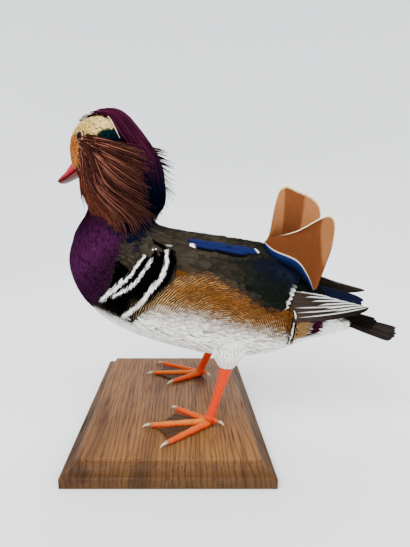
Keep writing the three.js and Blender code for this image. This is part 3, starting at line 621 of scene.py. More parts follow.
# Contour finish: the feathers' own colours, with fine wavy bars on the flank. The bars run in
# arcs about a point low on the body's side, given as x and z, and wander a little.
WAVES_ABOUT = (0.042, 0.088)
WAVE_LENGTH = 0.0016
WAVE_WANDER = 0.004
contour, shader, waved_share, plain = plume_material("contour_feathers", 0.7)
tree = contour.node_tree
squares = []
for axis, middle in zip("XZ", WAVES_ABOUT):
    away = calculate(tree, "SUBTRACT", along_axis(tree, axis), middle)
    squares.append(calculate(tree, "MULTIPLY", away, away))
reach = calculate(tree, "POWER", calculate(tree, "ADD", *squares), 0.5)
wander = calculate(tree, "MULTIPLY", object_noise(tree, 150, (1, 1, 1), 2), WAVE_WANDER)
wandering = calculate(tree, "ADD", reach, wander)
wave = calculate(tree, "SINE", calculate(tree, "MULTIPLY", wandering, 2 * math.pi / WAVE_LENGTH))
pale = calculate(tree, "MULTIPLY", ramp(tree, wave, [(0.3, 0.0), (0.8, 0.7)]), waved_share)
dark = calculate(tree, "MULTIPLY", ramp(tree, wave, [(0.0, 0.6), (0.1, 0.0)]), waved_share)
barred = mix(tree, dark, mix(tree, pale, plain, rgb("b89c6c")), rgb("2c1a0c"))
tree.links.new(barred, shader.inputs["Base Color"])


# The skin itself lies below the feathers' roots and shows only in the gaps between them. Over
# the folded wing the coat rises with the wing.
SKIN_DEPTH = 1.0
SKIN_SHADE = 0.7
SKIN_ROWS, SKIN_AROUND = 340, 120
WING_U, WING_V, WING_THICK = (4.0, 9.5), (28.0, 106.0), 3.4


def folded(u, v):
    """How far the folded wing lifts the plumage, in millimetres: full over the wing, and
    down to nothing at its front, its top and its lower edge."""
    down = from_back(v)
    s = np.clip((u - WING_U[0]) / (WING_U[1] - WING_U[0]), -0.3, 1)
    t = np.clip((down - WING_V[0]) / (WING_V[1] - WING_V[0]), 0, 1)
    return WING_THICK * np.sin(np.pi * t) ** 0.7 * np.sin(np.pi * (0.36 + 0.64 * s)).clip(0) ** 0.7


skin_u, skin_v = np.meshgrid(
    np.linspace(0, LAST, SKIN_ROWS), np.linspace(0, 360, SKIN_AROUND, endpoint=False), indexing="ij"
)
rings = turned(lifted(skin_u, skin_v, np.full(skin_u.shape, -SKIN_DEPTH)))
skin_faces = closed_tube(SKIN_ROWS, SKIN_AROUND, True)
body_skin = mesh_piece("plumage_skin", rings.reshape(-1, 3), skin_faces)
colors, waved = plumage(skin_u, skin_v, np.zeros(skin_u.shape))
paint(body_skin, colors * SKIN_SHADE, waved)
uv_map(body_skin, "vane", np.stack([skin_v / 36, skin_u], -1))
uv_map(body_skin, "OFBake", unwrapped(skin_u, skin_v))
body_skin.data.materials.append(contour)
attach(body_skin, "root")
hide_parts("torso", "neck", "head")

# Contour feathers: thousands of short vanes over the skin, each a thin tapered wedge with a
# raised shaft line, or a thin curved sheet on the back and flanks. They lie back along the
# body, and their loose tips stand a little proud.
rng = np.random.default_rng(11)
BAKE_PATCH = 0.003
VANE_ROWS = np.array([0.0, 0.35, 0.7, 0.92, 1.0])
VANE_SHAPE = np.array([0.55, 0.95, 1.0, 0.66, 0.12])


def sheet_faces(count, rows, cols):
    """Quads of closed sheets, each with an upper and then a lower grid of rows by cols."""
    i, k = np.meshgrid(np.arange(rows - 1) * cols, np.arange(cols - 1), indexing="ij")
    a = (i + k).ravel()
    top = np.stack([a, a + 1, a + cols + 1, a + cols], -1)
    under = rows * cols
    rim = np.concatenate(
        [
            np.arange(cols),
            np.arange(2, rows + 1) * cols - 1,
            (rows - 1) * cols + np.arange(cols - 2, -1, -1),
            np.arange(rows - 2, 0, -1) * cols,
        ]
    )
    after = np.roll(rim, -1)
    side = np.stack([after, rim, rim + under, after + under], -1)
    one = np.concatenate([top, top[:, ::-1] + under, side])
    return (np.arange(count)[:, None, None] * 2 * under + one).reshape(-1, 4)


def wedge_faces(count, rows):
    """Faces of wedges, whose rows have a left edge, a raised middle and a right edge."""
    base, step = np.arange(count)[:, None] * rows * 3, np.arange(rows - 1) * 3
    quads = [
        np.stack([step + a, step + b, step + b + 3, step + a + 3], -1)
        for a, b in ((0, 1), (1, 2), (2, 0))
    ]
    quads = (base[:, :, None] + np.concatenate(quads)[None]).reshape(-1, 4)
    start = base + np.array([[2, 1, 0]])
    end = base + (rows - 1) * 3 + np.array([[0, 1, 2]])
    return [quads, np.concatenate([start, end])]


def plumes(name, path, out, half, tint, finish, roots, waved=0.0, cols=0, camber=0.2,
           thick=0.45):
    """One piece of many feathers. path and out are count by rows by 3 in metres, half is count
    by rows in millimetres. With no cols each feather is a three-sided wedge, otherwise it is a
    thin closed sheet with so many places across, which falls off from the shaft by the square
    of the place across. tint is linear colours, of the shape count by rows by 3, or count by
    rows by cols by 3. roots are places on the skin's own unwrap."""
    count, rows = half.shape
    ahead = np.gradient(path, axis=1)
    ahead_length = np.maximum(np.sum(ahead * ahead, -1), 1e-18)
    out = unit(out - ahead * (np.sum(out * ahead, -1) / ahead_length)[..., None])
    across = unit(np.cross(ahead, out))
    s = np.linspace(-1, 1, cols or 3)
    reach = MM * half[..., None] * s
    middle = path[:, :, None] + across[:, :, None] * reach[..., None]
    if cols:
        middle = middle - out[:, :, None] * (camber * MM * half[..., None] * s**2)[..., None]
        depth = out[:, :, None] * (0.5 * MM * thick * (1 - 0.8 * s**2))[:, None]
        vertices = np.stack([middle + depth, middle - depth], 1)
        faces = sheet_faces(count, rows, cols)
    else:
        vertices = middle + out[:, :, None] * (MM * thick * (1 - np.abs(s)))[:, None]
        faces = wedge_faces(count, rows)
    piece = mesh_piece(name, vertices.reshape(-1, 3), faces)
    shape = vertices.shape[:-1]
    if tint.ndim == 3:
        tint = tint[:, :, None]
    waved = np.reshape(waved, (-1, 1, 1))
    if cols:
        tint, waved = tint[:, None], waved[:, None]
    paint(piece, np.broadcast_to(tint, (*shape, 3)), np.broadcast_to(waved, shape))
    steps = np.linalg.norm(np.diff(path, axis=1), axis=-1)
    length = np.concatenate([np.zeros((count, 1)), np.cumsum(steps, 1)], 1)
    places = np.stack([np.abs(reach), np.broadcast_to(length[..., None], reach.shape)], -1) * 100
    patch = np.stack(np.broadcast_arrays(s / 2, np.linspace(-0.5, 0.5, rows)[:, None]), -1)
    spots = roots[:, None, None] + BAKE_PATCH * patch
    if cols:
        places, spots = places[:, None], spots[:, None]
    uv_map(piece, "vane", np.broadcast_to(places, (*shape, 2)))
    uv_map(piece, "OFBake", np.broadcast_to(spots, (*shape, 2)))
    piece.data.materials.append(finish)
    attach(piece, "root")
    return piece


def scatter(count, u_range, v_range, wanted):
    """Even random places on the skin, where wanted(u, v) holds: many are tried, and each is
    kept with a chance that goes with the skin's area there."""
    u = rng.uniform(*u_range, count * 12)
    v = rng.uniform(*v_range, count * 12)
    per_u, per_v, _ = skin_frame(u, v)
    area = np.linalg.norm(np.cross(per_u, per_v), axis=-1) * wanted(u, v)
    keep = rng.uniform(0, 1, len(u)) * np.quantile(area, 0.99) < area
    return u[keep][:count], v[keep][:count]


def rounded_end(t, start, length):
    """1 up to a start, then down over a length as the quarter of an ellipse."""
    return np.sqrt(1 - np.clip((t - start) / length, 0, 1) ** 2)


def everywhere(u, v):
    """All places of the skin."""
    return np.ones(np.shape(u))


def coat(name, count, u_range, v_range, length, width, lift, wanted=everywhere, flow=(-1, 0.0),
         stray=0.12, finish=contour, cols=0, tinted=plumage, rough=1.0):
    """Feathers over a stretch of the skin. length, width, which is half of it across, and lift
    are millimetres, or pairs of stops and values along the body. flow is how they run: along
    the body and down. Each keeps to the skin from its root, and rises to its lift at the
    tip."""
    u, v = scatter(count, u_range, v_range, wanted)
    n = len(u)

    def sized(value):
        """A measure at each feather's root."""
        return np.interp(u, *value) if isinstance(value, tuple) else np.full(n, float(value))

    size = sized(length) * rng.uniform(0.8, 1.2, n)
    per_u, per_v, _ = skin_frame(u, v)
    down = np.where(np.mod(v, 360) < 180, 1.0, -1.0)
    du = flow[0] * size / np.linalg.norm(per_u, axis=-1)
    dv = down * (flow[1] + rng.normal(0, stray, n)) * size / np.linalg.norm(per_v, axis=-1)
    rows = np.linspace(0, 1, 6) if cols else VANE_ROWS
    pu = np.clip(u[:, None] + du[:, None] * rows, SMALL_STEP, LAST - SMALL_STEP)
    pv = v[:, None] + dv[:, None] * rows
    tip = sized(lift) * rng.uniform(0.6, 1.4, n)
    rise = folded(pu, pv) - 0.5 + (tip[:, None] + 0.5) * rows**0.8
    path, out = over_skin(pu, pv, rise)
    shape = rounded_end(rows, 0.55, 0.452) if cols else VANE_SHAPE
    half = sized(width)[:, None] * rng.uniform(0.85, 1.15, (n, 1)) * shape
    noise = rng.uniform(-rough, rough, n)
    tint, waved = tinted(u + du * 0.6, v + dv * 0.6, noise)
    tint = tint * rng.uniform(0.85, 1.12, (n, 1))
    # each feather is painted darker towards its root and lighter at its tip: painted shade under the
    # feathers that lie over it
    tint = tint[:, None] * (0.78 + 0.28 * rows)[None, :, None]
    return plumes(name, path, out, half, tint, finish, unwrapped(u, v), waved, cols, thick=0.25)


def barred_shoulder(u, v):
    """The shoulder with the black and white bars."""
    down = from_back(v)
    rear, front = np.interp(down, *REAR_BAR), np.interp(down, *FRONT_BAR)
    reach = np.where(down > 74, np.maximum(front, np.interp(down, *BREAST_EDGE)), front)
    return (u > rear - 0.4) & (u < reach + 0.12) & (down > 40) & (down < 126)


def other_body(u, v):
    """The body but for the barred shoulders."""
    return ~barred_shoulder(u, v)


def is_belly(u, v):
    """Where the belly's white is."""
    down = from_back(v)
    return down > np.interp(u, *FLANK_LOW) - 6


def is_flank(u, v):
    """The golden flank and what lies behind it below the wing."""
    down = from_back(v)
    low, top = np.interp(u, *FLANK_LOW), np.interp(u, *FLANK_TOP)
    return (down > top - 3) & (down < low + 8) & other_body(u, v)


def closing_bars(u, v):
    """The strip of bars that closes the flank."""
    down = from_back(v)
    return (down > 84) & (down < 126)


def is_mantle(u, v):
    """The brown back and shoulders."""
    down = from_back(v)
    behind_breast = u < np.interp(down, *BREAST_EDGE) + 0.3
    return other_body(u, down) & behind_breast & (down < np.interp(u, *FLANK_TOP) + 4)


def mantle_colors(u, v, noise):
    """The back's own colours, which leave out the bars on the shoulders."""
    down = from_back(v)
    return plumage(u, np.where((u > 7) & (u < 10), np.minimum(down, 36), down), noise)


coat("breast_feathers", 5000, (9.0, 12.8), (0, 360), 7, 1.8, 0.2, other_body)
coat("belly_feathers", 4800, (0.3, 9.6), (88, 272), ([0.3, 4, 9], [16, 13, 10]), 1.7,
     ([0, 3.4, 4.6, 5.6, 9], [1.1, 1.3, 3.2, 1.2, 0.8]), is_belly, stray=0.3)
FLANKS = {"left": (50, 132), "right": (228, 310)}
SHOULDERS = {"left": (40, 126), "right": (234, 320)}
for side_name, v_range in FLANKS.items():
    coat(f"flank_feathers_{side_name}", 2100, (1.2, 8.3), v_range, ([1.2, 4, 9], [15, 14, 8]), 2.6,
         ([1.2, 4, 5, 7.5, 8.3], [0.9, 1.2, 2.2, 2.2, 0.9]), is_flank, (-1, 0.1), cols=3)
    coat(f"shoulder_bars_{side_name}", 2300, (7.0, 9.9), SHOULDERS[side_name], 7, 0.8, 0.5,
         barred_shoulder, (0.22, 1.0), 0.1, rough=0.5)
    coat(f"flank_bars_{side_name}", 500, (3.25, 3.56), v_range, 6, 0.6, 3.4, closing_bars,
         (0.0, 1.0), 0.06, rough=0.2)
coat("mantle_feathers", 1300, (2.0, 12.4), (-60, 60), ([2, 4, 9, 12], [16, 16, 9, 7]),
     ([2, 4, 9, 12], [4.4, 4.4, 3, 2]), 0.8, is_mantle, cols=5, tinted=mantle_colors)
coat("head_feathers", 5200, (15.2, 24.9), (0, 360), ([15, 20, 24.9], [6, 3.4, 1.8]),
     ([15, 20, 24.9], [0.9, 0.6, 0.4]), 0.25)
coat("neck_feathers", 2200, (12.2, 15.8), (0, 360), 8, 1.1, 0.5)

# Folded wings: a sheet over each flank, coverts lying back over it, five glossy blue
# scapulars above, and dark secondaries whose white tips show at the wing's end.
BLUE, BLUE_DARK = rgb("131b45"), rgb("060a1b")
SIDES = (("left", 1), ("right", -1))
SCAPULARS = np.array(
    [
        # section and angle of the root, then of the tip, lift of both, half width
        [6.6, 28.5, 5.95, 29.5, 3.4, 4.0, 3.2],
        [6.55, 33.5, 5.7, 36.5, 3.5, 4.2, 3.9],
        [6.15, 29.5, 5.3, 31.5, 3.8, 4.6, 3.9],
        [5.95, 34.0, 4.8, 38.5, 3.9, 4.7, 4.8],
        [5.4, 31.0, 4.45, 34.5, 4.3, 5.2, 4.2],
    ]
)


def sided(v, side):
    """An angle on the left side, or its mirror on the right."""
    return v if side > 0 else 360 - v


def body_blades(start, end, lifts, half, rows=14):
    """Paths and normals of feathers that follow the body from start to end, each a pair of
    arrays of section and angle, with lifts in millimetres at both ends."""
    t = np.linspace(0, 1, rows)
    u = start[0][:, None] + (end[0] - start[0])[:, None] * t
    v = start[1][:, None] + (end[1] - start[1])[:, None] * t
    rise = lifts[0][:, None] + (lifts[1] - lifts[0])[:, None] * t
    path, out = over_skin(u, v, rise)
    widths = half[:, None] * (0.75 + 0.25 * np.minimum(t / 0.4, 1)) * rounded_end(t, 0.78, 0.222)
    return path, out, widths


def blade_tint(count, rows, cols, paint_at):
    """Linear colours of blades, from paint_at(across, along, which), across from -1 to 1."""
    which, along, across = np.meshgrid(
        np.arange(count), np.linspace(0, 1, rows), np.linspace(-1, 1, cols), indexing="ij"
    )
    return paint_at(across, along, which)


gloss = plume_material("glossy_feathers", 0.45, barbs=12.0, relief=0.45, gloss=0.05)[0]
SHEET_ROWS, SHEET_COLS, SHEET_SHADE = 50, 40, 0.6
for side_name, side in SIDES:
    along, around = np.linspace(4.05, 9.3, SHEET_ROWS), np.linspace(31, 103, SHEET_COLS)
    u, v = np.meshgrid(along, around, indexing="ij")
    v = sided(v, side)
    upper = turned(lifted(u, v, folded(u, v) * 0.8 + 0.1))
    lower = turned(lifted(u, v, np.full(u.shape, -0.6)))
    sheet = np.stack([upper, lower] if side > 0 else [lower, upper])
    faces = sheet_faces(1, SHEET_ROWS, SHEET_COLS)
    wing = mesh_piece(f"wing_sheet_{side_name}", sheet.reshape(-1, 3), faces)
    tint, waved = plumage(u, v, np.zeros(u.shape))
    paint(wing, np.stack([tint, tint]) * SHEET_SHADE, np.stack([waved, waved]))
    uv_map(wing, "vane", np.stack([np.stack([v / 36, u], -1)] * 2))
    uv_map(wing, "OFBake", np.stack([unwrapped(u, v)] * 2))
    wing.data.materials.append(contour)
    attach(wing, "root")
    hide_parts(f"wing_{side_name}")

    # secondaries, dark olive to glossy blue-black, with white tips
    count, rows, cols = 9, 16, 9
    k = np.linspace(0, 1, count)
    start = (np.full(count, 6.2), sided(46 + 40 * k, side))
    end = (3.2 + 0.45 * k, sided(50 + 34 * k, side))
    lifts = (np.full(count, 3.0) + 0.3 * k, 5.6 - 1.2 * k)
    path, out, half = body_blades(start, end, lifts, 5.6 - 1.4 * k, rows)

    def secondary(s, t, which):
        """Olive at the root, then green-black, with dark blue on the upper secondaries and
        white tips on the lower ones."""
        color = blend(flat(OLIVE_DARK, s), GREEN_BLACK, soft(t - 0.35, 0.3))
        color = blend(color, BLUE_DARK, soft(t - 0.5, 0.3) * soft(4.5 - which, 3) * 0.9)
        return blend(color, WHITE, soft(t - 0.95, 0.012) * soft(which - 3.5, 1))

    plumes(f"secondaries_{side_name}", path, out, half, blade_tint(count, rows, cols, secondary),
           gloss, unwrapped(*start), cols=cols)

    # coverts and long scapulars, soft brown with paler edges, darker towards the rear
    count, rows, cols = 620, 8, 5
    u0, v0 = scatter(count, (4.3, 8.9), (24, 92), everywhere)
    top = np.interp(u0, *FLANK_TOP)
    shown = (v0 < top - 7) & (u0 < np.where(v0 > 38, np.interp(v0, *REAR_BAR) - 0.3, 9))
    u0, v0 = u0[shown], v0[shown]
    order = np.argsort(-u0)
    u0, v0, count = u0[order], v0[order], len(u0)
    size = np.interp(u0, [4, 6, 9], [19, 17, 8]) * rng.uniform(0.85, 1.15, count)
    per_u, per_v, _ = skin_frame(u0, v0)
    u1 = np.maximum(u0 - size / np.linalg.norm(per_u, axis=-1), 3.55)
    v1 = v0 + 3 + rng.normal(0, 2, count)
    rise = folded(u0, v0) + 0.2
    tip_rise = folded(u1, v1) + np.interp(u1, [3.4, 4.6, 9], [2.4, 1.6, 0.9])
    lifts = (rise, tip_rise + rng.uniform(0, 0.4, count))
    widths = np.interp(u0, [4, 6, 9], [4.6, 4.0, 2.4])
    path, out, half = body_blades((u0, sided(v0, side)), (u1, sided(v1, side)), lifts, widths, rows)
    shade = rng.uniform(-1, 1, count)

    def covert(s, t, which):
        """The skin's colour under the tip, turning green-black and dark blue towards the rear,
        with olive edges by the tip."""
        own, _ = plumage(u1 + 0.25, v1, shade)
        # darker towards the root and lighter at the tip: painted shade under the coverts that lie over it
        color = own[which] * (0.7 + 0.4 * t)[..., None]
        rear = soft(5.2 - u1, 1.1)[which] * soft(v1 - 40, 10)[which]
        color = blend(color, GREEN_BLACK, rear * 0.85)
        bluish = soft(4.4 - u1, 0.5)[which] * soft(64 - v1, 8)[which]
        color = blend(color, BLUE_DARK, 0.5 * rear * bluish)
        return blend(color, OLIVE, 0.35 * soft(np.abs(s) - 0.7, 0.2) * soft(t - 0.6, 0.3))

    roots = unwrapped(u0, sided(v0, side))
    plumes(f"coverts_{side_name}", path, out, half, blade_tint(count, rows, cols, covert),
           contour, roots, cols=cols)

    # the blue scapulars: glossy blue, black below, with a white spot before and behind
    count, rows, cols = len(SCAPULARS), 24, 13
    start_u, start_v, end_u, end_v, start_lift, end_lift, widths = SCAPULARS.T
    start, end = (start_u, sided(start_v, side)), (end_u, sided(end_v, side))
    path, out, half = body_blades(start, end, (start_lift, end_lift), widths, rows)
    half = half * np.sin(np.pi * np.linspace(0.12, 0.9, rows)) ** 0.5

    def scapular(s, t, which):
        """Blue with dark edges, every second one black below, and the two white spots."""
        s = s * side
        color = blend(flat(BLUE, s), BLUE_DARK, soft(t - 0.9, 0.1) * 0.8)
        lower_edge, edges = soft(s - 0.3, 0.25), 0.6 * soft(np.abs(s) - 0.7, 0.15)
        color = blend(color, BLACK, np.where(which % 2 == 1, lower_edge, edges))
        color = blend(color, WHITE, (which == 1) * soft(0.16 - t + 0.05 * s, 0.05) * soft(s + 0.3, 0.5))
        white_end = (which == 4) * soft(t - 0.9 - 0.06 * s, 0.02) * soft(0.95 - t + 0.05 * s, 0.02)
        return blend(color, WHITE, white_end)

    plumes(f"scapulars_{side_name}", path, out, half, blade_tint(count, rows, cols, scapular),
           gloss, unwrapped(*start), cols=cols, camber=0.12)


# Sails: the one broad tertial that stands up from each wing. Its inner web is a fan between
# the shaft and the outer edge, orange with a cream rim, and its narrow outer web is blue.
def curve(points, t):
    """Places at shares t along a Catmull-Rom curve through points, as the sections' own."""
    points = np.asarray(points, float)
    x = np.clip(t, 0, 1) * (len(points) - 1)
    i = np.clip(np.floor(x).astype(int), 0, len(points) - 2)
    f = (x - i)[..., None]
    a, b, c, d = (points[np.clip(i + k, 0, len(points) - 1)] for k in (-1, 0, 1, 2))
    return b + 0.5 * f * (c - a + f * (2 * a - 5 * b + 4 * c - d + f * (3 * (b - c) + d - a)))


# shaft and outer edge as x, y, z from the top down, the outer web's width, and the x before
# and behind which the orange is pale
SAILS = {
    "left": {
        "shaft": [
            [79, -20, 166.5], [86, -27, 160.5], [103, -33, 153], [111.5, -36, 141], [116.5, -37, 128.5],
        ],
        "edge": [
            [84, -18, 170], [105, -22, 175.5], [133.5, -19, 189], [136.5, -24, 172], [119.5, -36, 130],
        ],
        "web": 9,
        "pale": (None, 127.0),
    },
    "right": {
        "shaft": [
            [87, 10, 164], [98, 21, 160], [111, 27, 152], [120, 30, 141], [125, 30, 128.5],
        ],
        "edge": [
            [90, 9, 170], [98.5, 15, 211], [113, 15, 212.5], [138.5, 17, 192.5], [128, 29, 130],
        ],
        "web": 8,
        "pale": (103.5, 122.5),
    },
}
SAIL_ORANGE, SAIL_DEEP, SAIL_PALE = rgb("744123"), rgb("522b15"), rgb("a06a40")
SAIL_RIM = rgb("ffedc8")
SAIL_HALF_THICK, SAIL_BULGE = 0.25, 5
sail_finish = plume_material("sail_feathers", 0.6, barbs=11.0, relief=0.25)[0]
rows, cols, skirt_cols = 70, 44, 10
for side_name, side in SIDES:
    shape = SAILS[side_name]
    down_shaft = np.linspace(0, 1, rows)
    t, k = np.meshgrid(down_shaft, np.linspace(0, 1, cols), indexing="ij")
    s, e = curve(shape["shaft"], t), curve(shape["edge"], t)
    bulge = side * SAIL_BULGE * np.sin(np.pi * k) * np.sin(np.pi * t)
    ragged = 1 + 0.006 * np.sin(t * 151) * soft(k - 0.9, 0.1) - 0.03 * (np.abs(t - 0.33) < 0.006) * k
    fan = s + (e - s) * (k * ragged)[..., None] + np.stack([0 * bulge, bulge, 0 * bulge], -1)
    t2, k2 = np.meshgrid(down_shaft, np.linspace(1, 0, skirt_cols, endpoint=False), indexing="ij")
    narrow = shape["web"] * np.sin(np.pi * (0.12 + 0.86 * t2)) * k2
    skirt = curve(shape["shaft"], t2) + narrow[..., None] * np.array([-0.35, -side * 0.55, -0.8])
    grid = np.concatenate([skirt, fan], 1)
    normal = unit(np.cross(np.gradient(grid, axis=1), np.gradient(grid, axis=0)))
    sheet = MM * np.stack([grid + normal * SAIL_HALF_THICK, grid - normal * SAIL_HALF_THICK])
    faces = sheet_faces(1, rows, cols + skirt_cols)
    piece = mesh_piece(f"sail_feather_{side_name}", sheet.reshape(-1, 3), faces)
    x = fan[..., 0]
    first, last = shape["pale"]
    pale = soft(x - last + 4 * (1 - k), 1.2)
    if first:
        pale = soft(first - x, 1.2) * soft(k - 0.3, 0.2) + pale
    streak = np.sin(k * 26 + t * 40 + 2 * np.sin(t * 23)) * 0.5 + 0.5
    tint = blend(flat(SAIL_ORANGE, x), SAIL_DEEP, 0.12 * streak + 0.4 * soft(0.5 - k, 0.5))
    # the left sail is painted darker than the right, by 0.66 against 0.92: painted shade on the left sail
    tint = blend(tint, SAIL_PALE, np.clip(pale, 0, 1) * 0.9) * (0.66 if side > 0 else 0.92)
    low = soft(t - 0.8, 0.04)
    tint = blend(tint, SAIL_RIM, soft(k - 0.952, 0.02) * (1 - low) * soft(t - 0.16, 0.08))
    tint = blend(tint, BLACK, soft(k - 0.955, 0.02) * low)
    under = blend(flat(BLUE, t2), BLUE_DARK, soft(k2 - 0.55, 0.3))
    under = blend(under, SAIL_RIM, soft(0.11 - k2, 0.05))
    tint = np.concatenate([under, tint], 1)
    paint(piece, np.stack([tint, tint]), np.zeros((2, *tint.shape[:2])))
    spot = np.stack([grid[..., 0] * 0.1 + 2, grid[..., 2] * 0.1], -1)
    uv_map(piece, "vane", np.stack([spot, spot]))
    margins = np.linspace(0.01, 0.99, rows), np.linspace(0.01, 0.99, cols + skirt_cols)
    place = np.stack(np.meshgrid(*margins, indexing="ij"), -1)
    uv_map(piece, "OFBake", np.stack([place * [0.5, 1], place * [0.5, 1] + [0.5, 0]]))
    piece.data.materials.append(sail_finish)
    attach(piece, "root")
    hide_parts(f"sail_{side_name}")

# Primaries: a bundle of long narrow quills from under the coverts to each wing's tip, black
# with silver outer edges on the near wing, and browner and duller on the far one. Each is a
# quadratic curve, bowed outwards, from between the top and bottom roots to its own tip.
PRIMARIES = {
    "left": {"top": [97, -42, 127], "bottom": [98, -46.5, 108], "tips": [166, -24, 114], "spread": 4},
    "right": {"top": [98, 37, 138], "bottom": [100, 43, 116], "tips": [184, 9, 120], "spread": 6},
}
QUILL_HALF = 3.6
SILVER, QUILL_BROWN = rgb("dcdcd6"), rgb("3a302a")
quill = plume_material("quill_feathers", 0.5, 13.0, 0.25, 0.04, rgb("1d1916"))[0]
for side_name, side in SIDES:
    shape = PRIMARIES[side_name]
    count, rows, cols = 6, 26, 11
    k, t = np.linspace(0, 1, count)[:, None, None], np.linspace(0, 1, rows)[None, :, None]
    start = np.array(shape["top"]) * (1 - k) + np.array(shape["bottom"]) * k
    along = np.concatenate([-26 * (1 - k) ** 1.3, -side * 6 * k, shape["spread"] * (0.5 - k)], -1)
    tips = np.array(shape["tips"]) + along
    middle = (start + tips) / 2 + np.concatenate([0 * k, 0 * k - side * 4, 3.5 * (0.4 - k)], -1)
    path = MM * ((1 - t) ** 2 * start + 2 * t * (1 - t) * middle + t**2 * tips)
    out = np.broadcast_to(np.array([0.1, -side, 0.45]), path.shape)
    half = QUILL_HALF * rounded_end(t[..., 0], 0.72, 0.285) * np.ones((count, 1))

    def primary(s, t, which):
        """Black, browner at the root, with silver on the outer edge, and on the lower quills
        along the shaft."""
        color = blend(flat(BLACK, s), QUILL_BROWN, 0.2 + 0.5 * soft(0.4 - t, 0.3))
        by_shaft = (which > 2) * soft(0.13 - np.abs(s + 0.2 * side), 0.06)
        edge = np.maximum(soft(-s * side - 0.72, 0.08), by_shaft) * soft(t - 0.06, 0.08)
        color = blend(color, QUILL_BROWN, 0.6 * (side < 0))
        return blend(color, SILVER, edge * (0.9 if side > 0 else 0.35) * soft(0.97 - t, 0.04))

    tint = blade_tint(count, rows, cols, primary)
    roots = np.stack([start[:, 0, 0] * 0 + 0.15, start[:, 0, 2] / 360], -1)
    piece = plumes(f"primary_quills_{side_name}", path, out, half, tint, quill, roots,
                   cols=cols, camber=0.16)
    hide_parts(f"primaries_{side_name}")

# Tail: a fan of long brown feathers, shorter dark coverts over them, and white ones under
# their roots. The fan lies in a plane that slopes down from the root to the tip.
TAIL = {"tip": [207, 86.5], "root": [146, 103]}
TAIL_COLS = 9
TAIL_BROWN, TAIL_DARK = rgb("2e2823"), rgb("14110f")
pitch = math.atan2(TAIL["tip"][1] - TAIL["root"][1], TAIL["tip"][0] - TAIL["root"][0])


def fan_feathers(count, spread, length, width, lift, roof, rows=16):
    """Paths, normals and half widths of a fan of tail feathers, from one side to the other.
    They part by even angles up to the spread. By the square of the place across they are
    shorter, start lower by the roof, and droop more."""
    k = np.linspace(-1, 1, count)[:, None]
    t = np.linspace(0, 1, rows)[None]
    yaw = np.radians(spread) * k
    reach = t * length * (1 - 0.16 * k * k + rng.uniform(-0.03, 0.03, (count, 1)))
    x = TAIL["root"][0] + reach * math.cos(pitch) * np.cos(yaw)
    y = MEDIAN_Y + 5.5 * k + reach * np.sin(yaw)
    z = TAIL["root"][1] + lift - roof * k * k + reach * (math.sin(pitch) - 0.06 * k * k)
    path = MM * np.stack([x, y, z], -1)
    out = np.stack([0 * y - math.sin(pitch) * 0.6, 0.35 * k + 0 * y, 0 * y + 1], -1)
    half = width * (0.7 + 0.3 * np.minimum(t / 0.5, 1)) * rounded_end(t, 0.86, 0.143)
    return path, out, half * np.ones((count, 1))


# for each fan its count, spread in degrees, length, half width, lift and roof in millimetres
for name, fan, colors in (
    ("tail_feathers", (12, 12, 60, 5.8, 0, 5), (TAIL_BROWN, TAIL_DARK)),
    ("tail_coverts", (14, 12, 40, 4.6, 3.2, 4), (TAIL_DARK, GREEN_BLACK)),
    ("undertail_coverts", (16, 10, 15, 4.6, -11, -2), (WHITE, WHITE)),
):
    path, out, half = fan_feathers(*fan)

    def tail_tint(s, t, which):
        """Darker along the shaft, painted shade towards the root, and a little unlike the next feather."""
        color = blend(flat(colors[1], s), colors[0], soft(np.abs(s) - 0.2, 0.4) * 0.8)
        return color * (0.8 + 0.2 * t)[..., None] * (0.85 + 0.15 * np.sin(which * 2.4))[..., None]

    count, rows = half.shape
    tint = blade_tint(count, rows, TAIL_COLS, tail_tint)
    roots = np.stack([np.full(count, 0.02), np.linspace(0.1, 0.9, count)], -1)
    piece = plumes(name, path, out, half, tint, quill, roots, cols=TAIL_COLS)
    if name == "tail_feathers":
        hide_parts("tail")

# Rump: a few long glossy blue-black feathers that lie back from under the sails, over the
# roots of the tail. Each is a straight line bowed up a little, most in the middle.
RUMP_HALF = 5.5
count, rows, cols = 5, 20, 9
k = np.linspace(-1, 1, count)[:, None, None]
t = np.linspace(0, 1, rows)[None, :, None]
start = np.concatenate([112 + 0 * k, MEDIAN_Y + 13 * k, 127 - 3 * k**2], -1)
end = np.concatenate([171 - 14 * np.abs(k + 0.6), MEDIAN_Y + 13 * k - 2, 116 - 3 * np.abs(k)], -1)
path = MM * (start + (end - start) * t + np.array([0, 0, 5]) * t * (1 - t))
half = RUMP_HALF * rounded_end(t[..., 0], 0.7, 0.31) * np.ones((count, 1))
out = np.broadcast_to(np.concatenate([0 * k, 0.45 * k - 0.5, 0 * k + 1], -1), path.shape)


def rump_tint(s, t, which):
    """Dark blue, a little brighter in the middle and away from the root."""
    return blend(flat(BLUE_DARK, s), BLUE, 0.12 * soft(0.5 - np.abs(s), 0.4) * soft(t - 0.3, 0.3))


tint = blade_tint(count, rows, cols, rump_tint)
roots = np.stack([np.full(count, 0.06), np.linspace(0.3, 0.7, count)], -1)
plumes("rump_feathers", path, out, half, tint, gloss, roots, cols=cols)

# Crest: long crown and nape feathers in many layers, lying back over the head and hanging
# behind the neck. Places run along the crest's outline, x and z in the median plane.
CREST_OUT = [
    [-84, 271], [-70, 275.2], [-54, 275.6], [-37, 272.5], [-24, 262],
    [-10, 247], [1, 232], [5, 216], [0, 201], [-8, 189], [-13, 180],
]
CREST_HALF = 1.3
CREST_MAROON, CREST_STREAK = rgb("3e1328"), rgb("f3e4c0")


def crest_place(t, sideways, depth):
    """A point of the straight bird: along the outline, off the median, and in from it by the
    depth and by the square of the way off, as the crest is rounded across."""
    p = curve(CREST_OUT, t)
    d = unit(curve(CREST_OUT, np.minimum(t + 0.01, 1)) - curve(CREST_OUT, np.maximum(t - 0.01, 0)))
    inward = depth + sideways**2 / 22
    x, z = p[..., 0] + d[..., 1] * inward, p[..., 1] - d[..., 0] * inward
    return np.stack([x, MEDIAN_Y + sideways, z], -1)


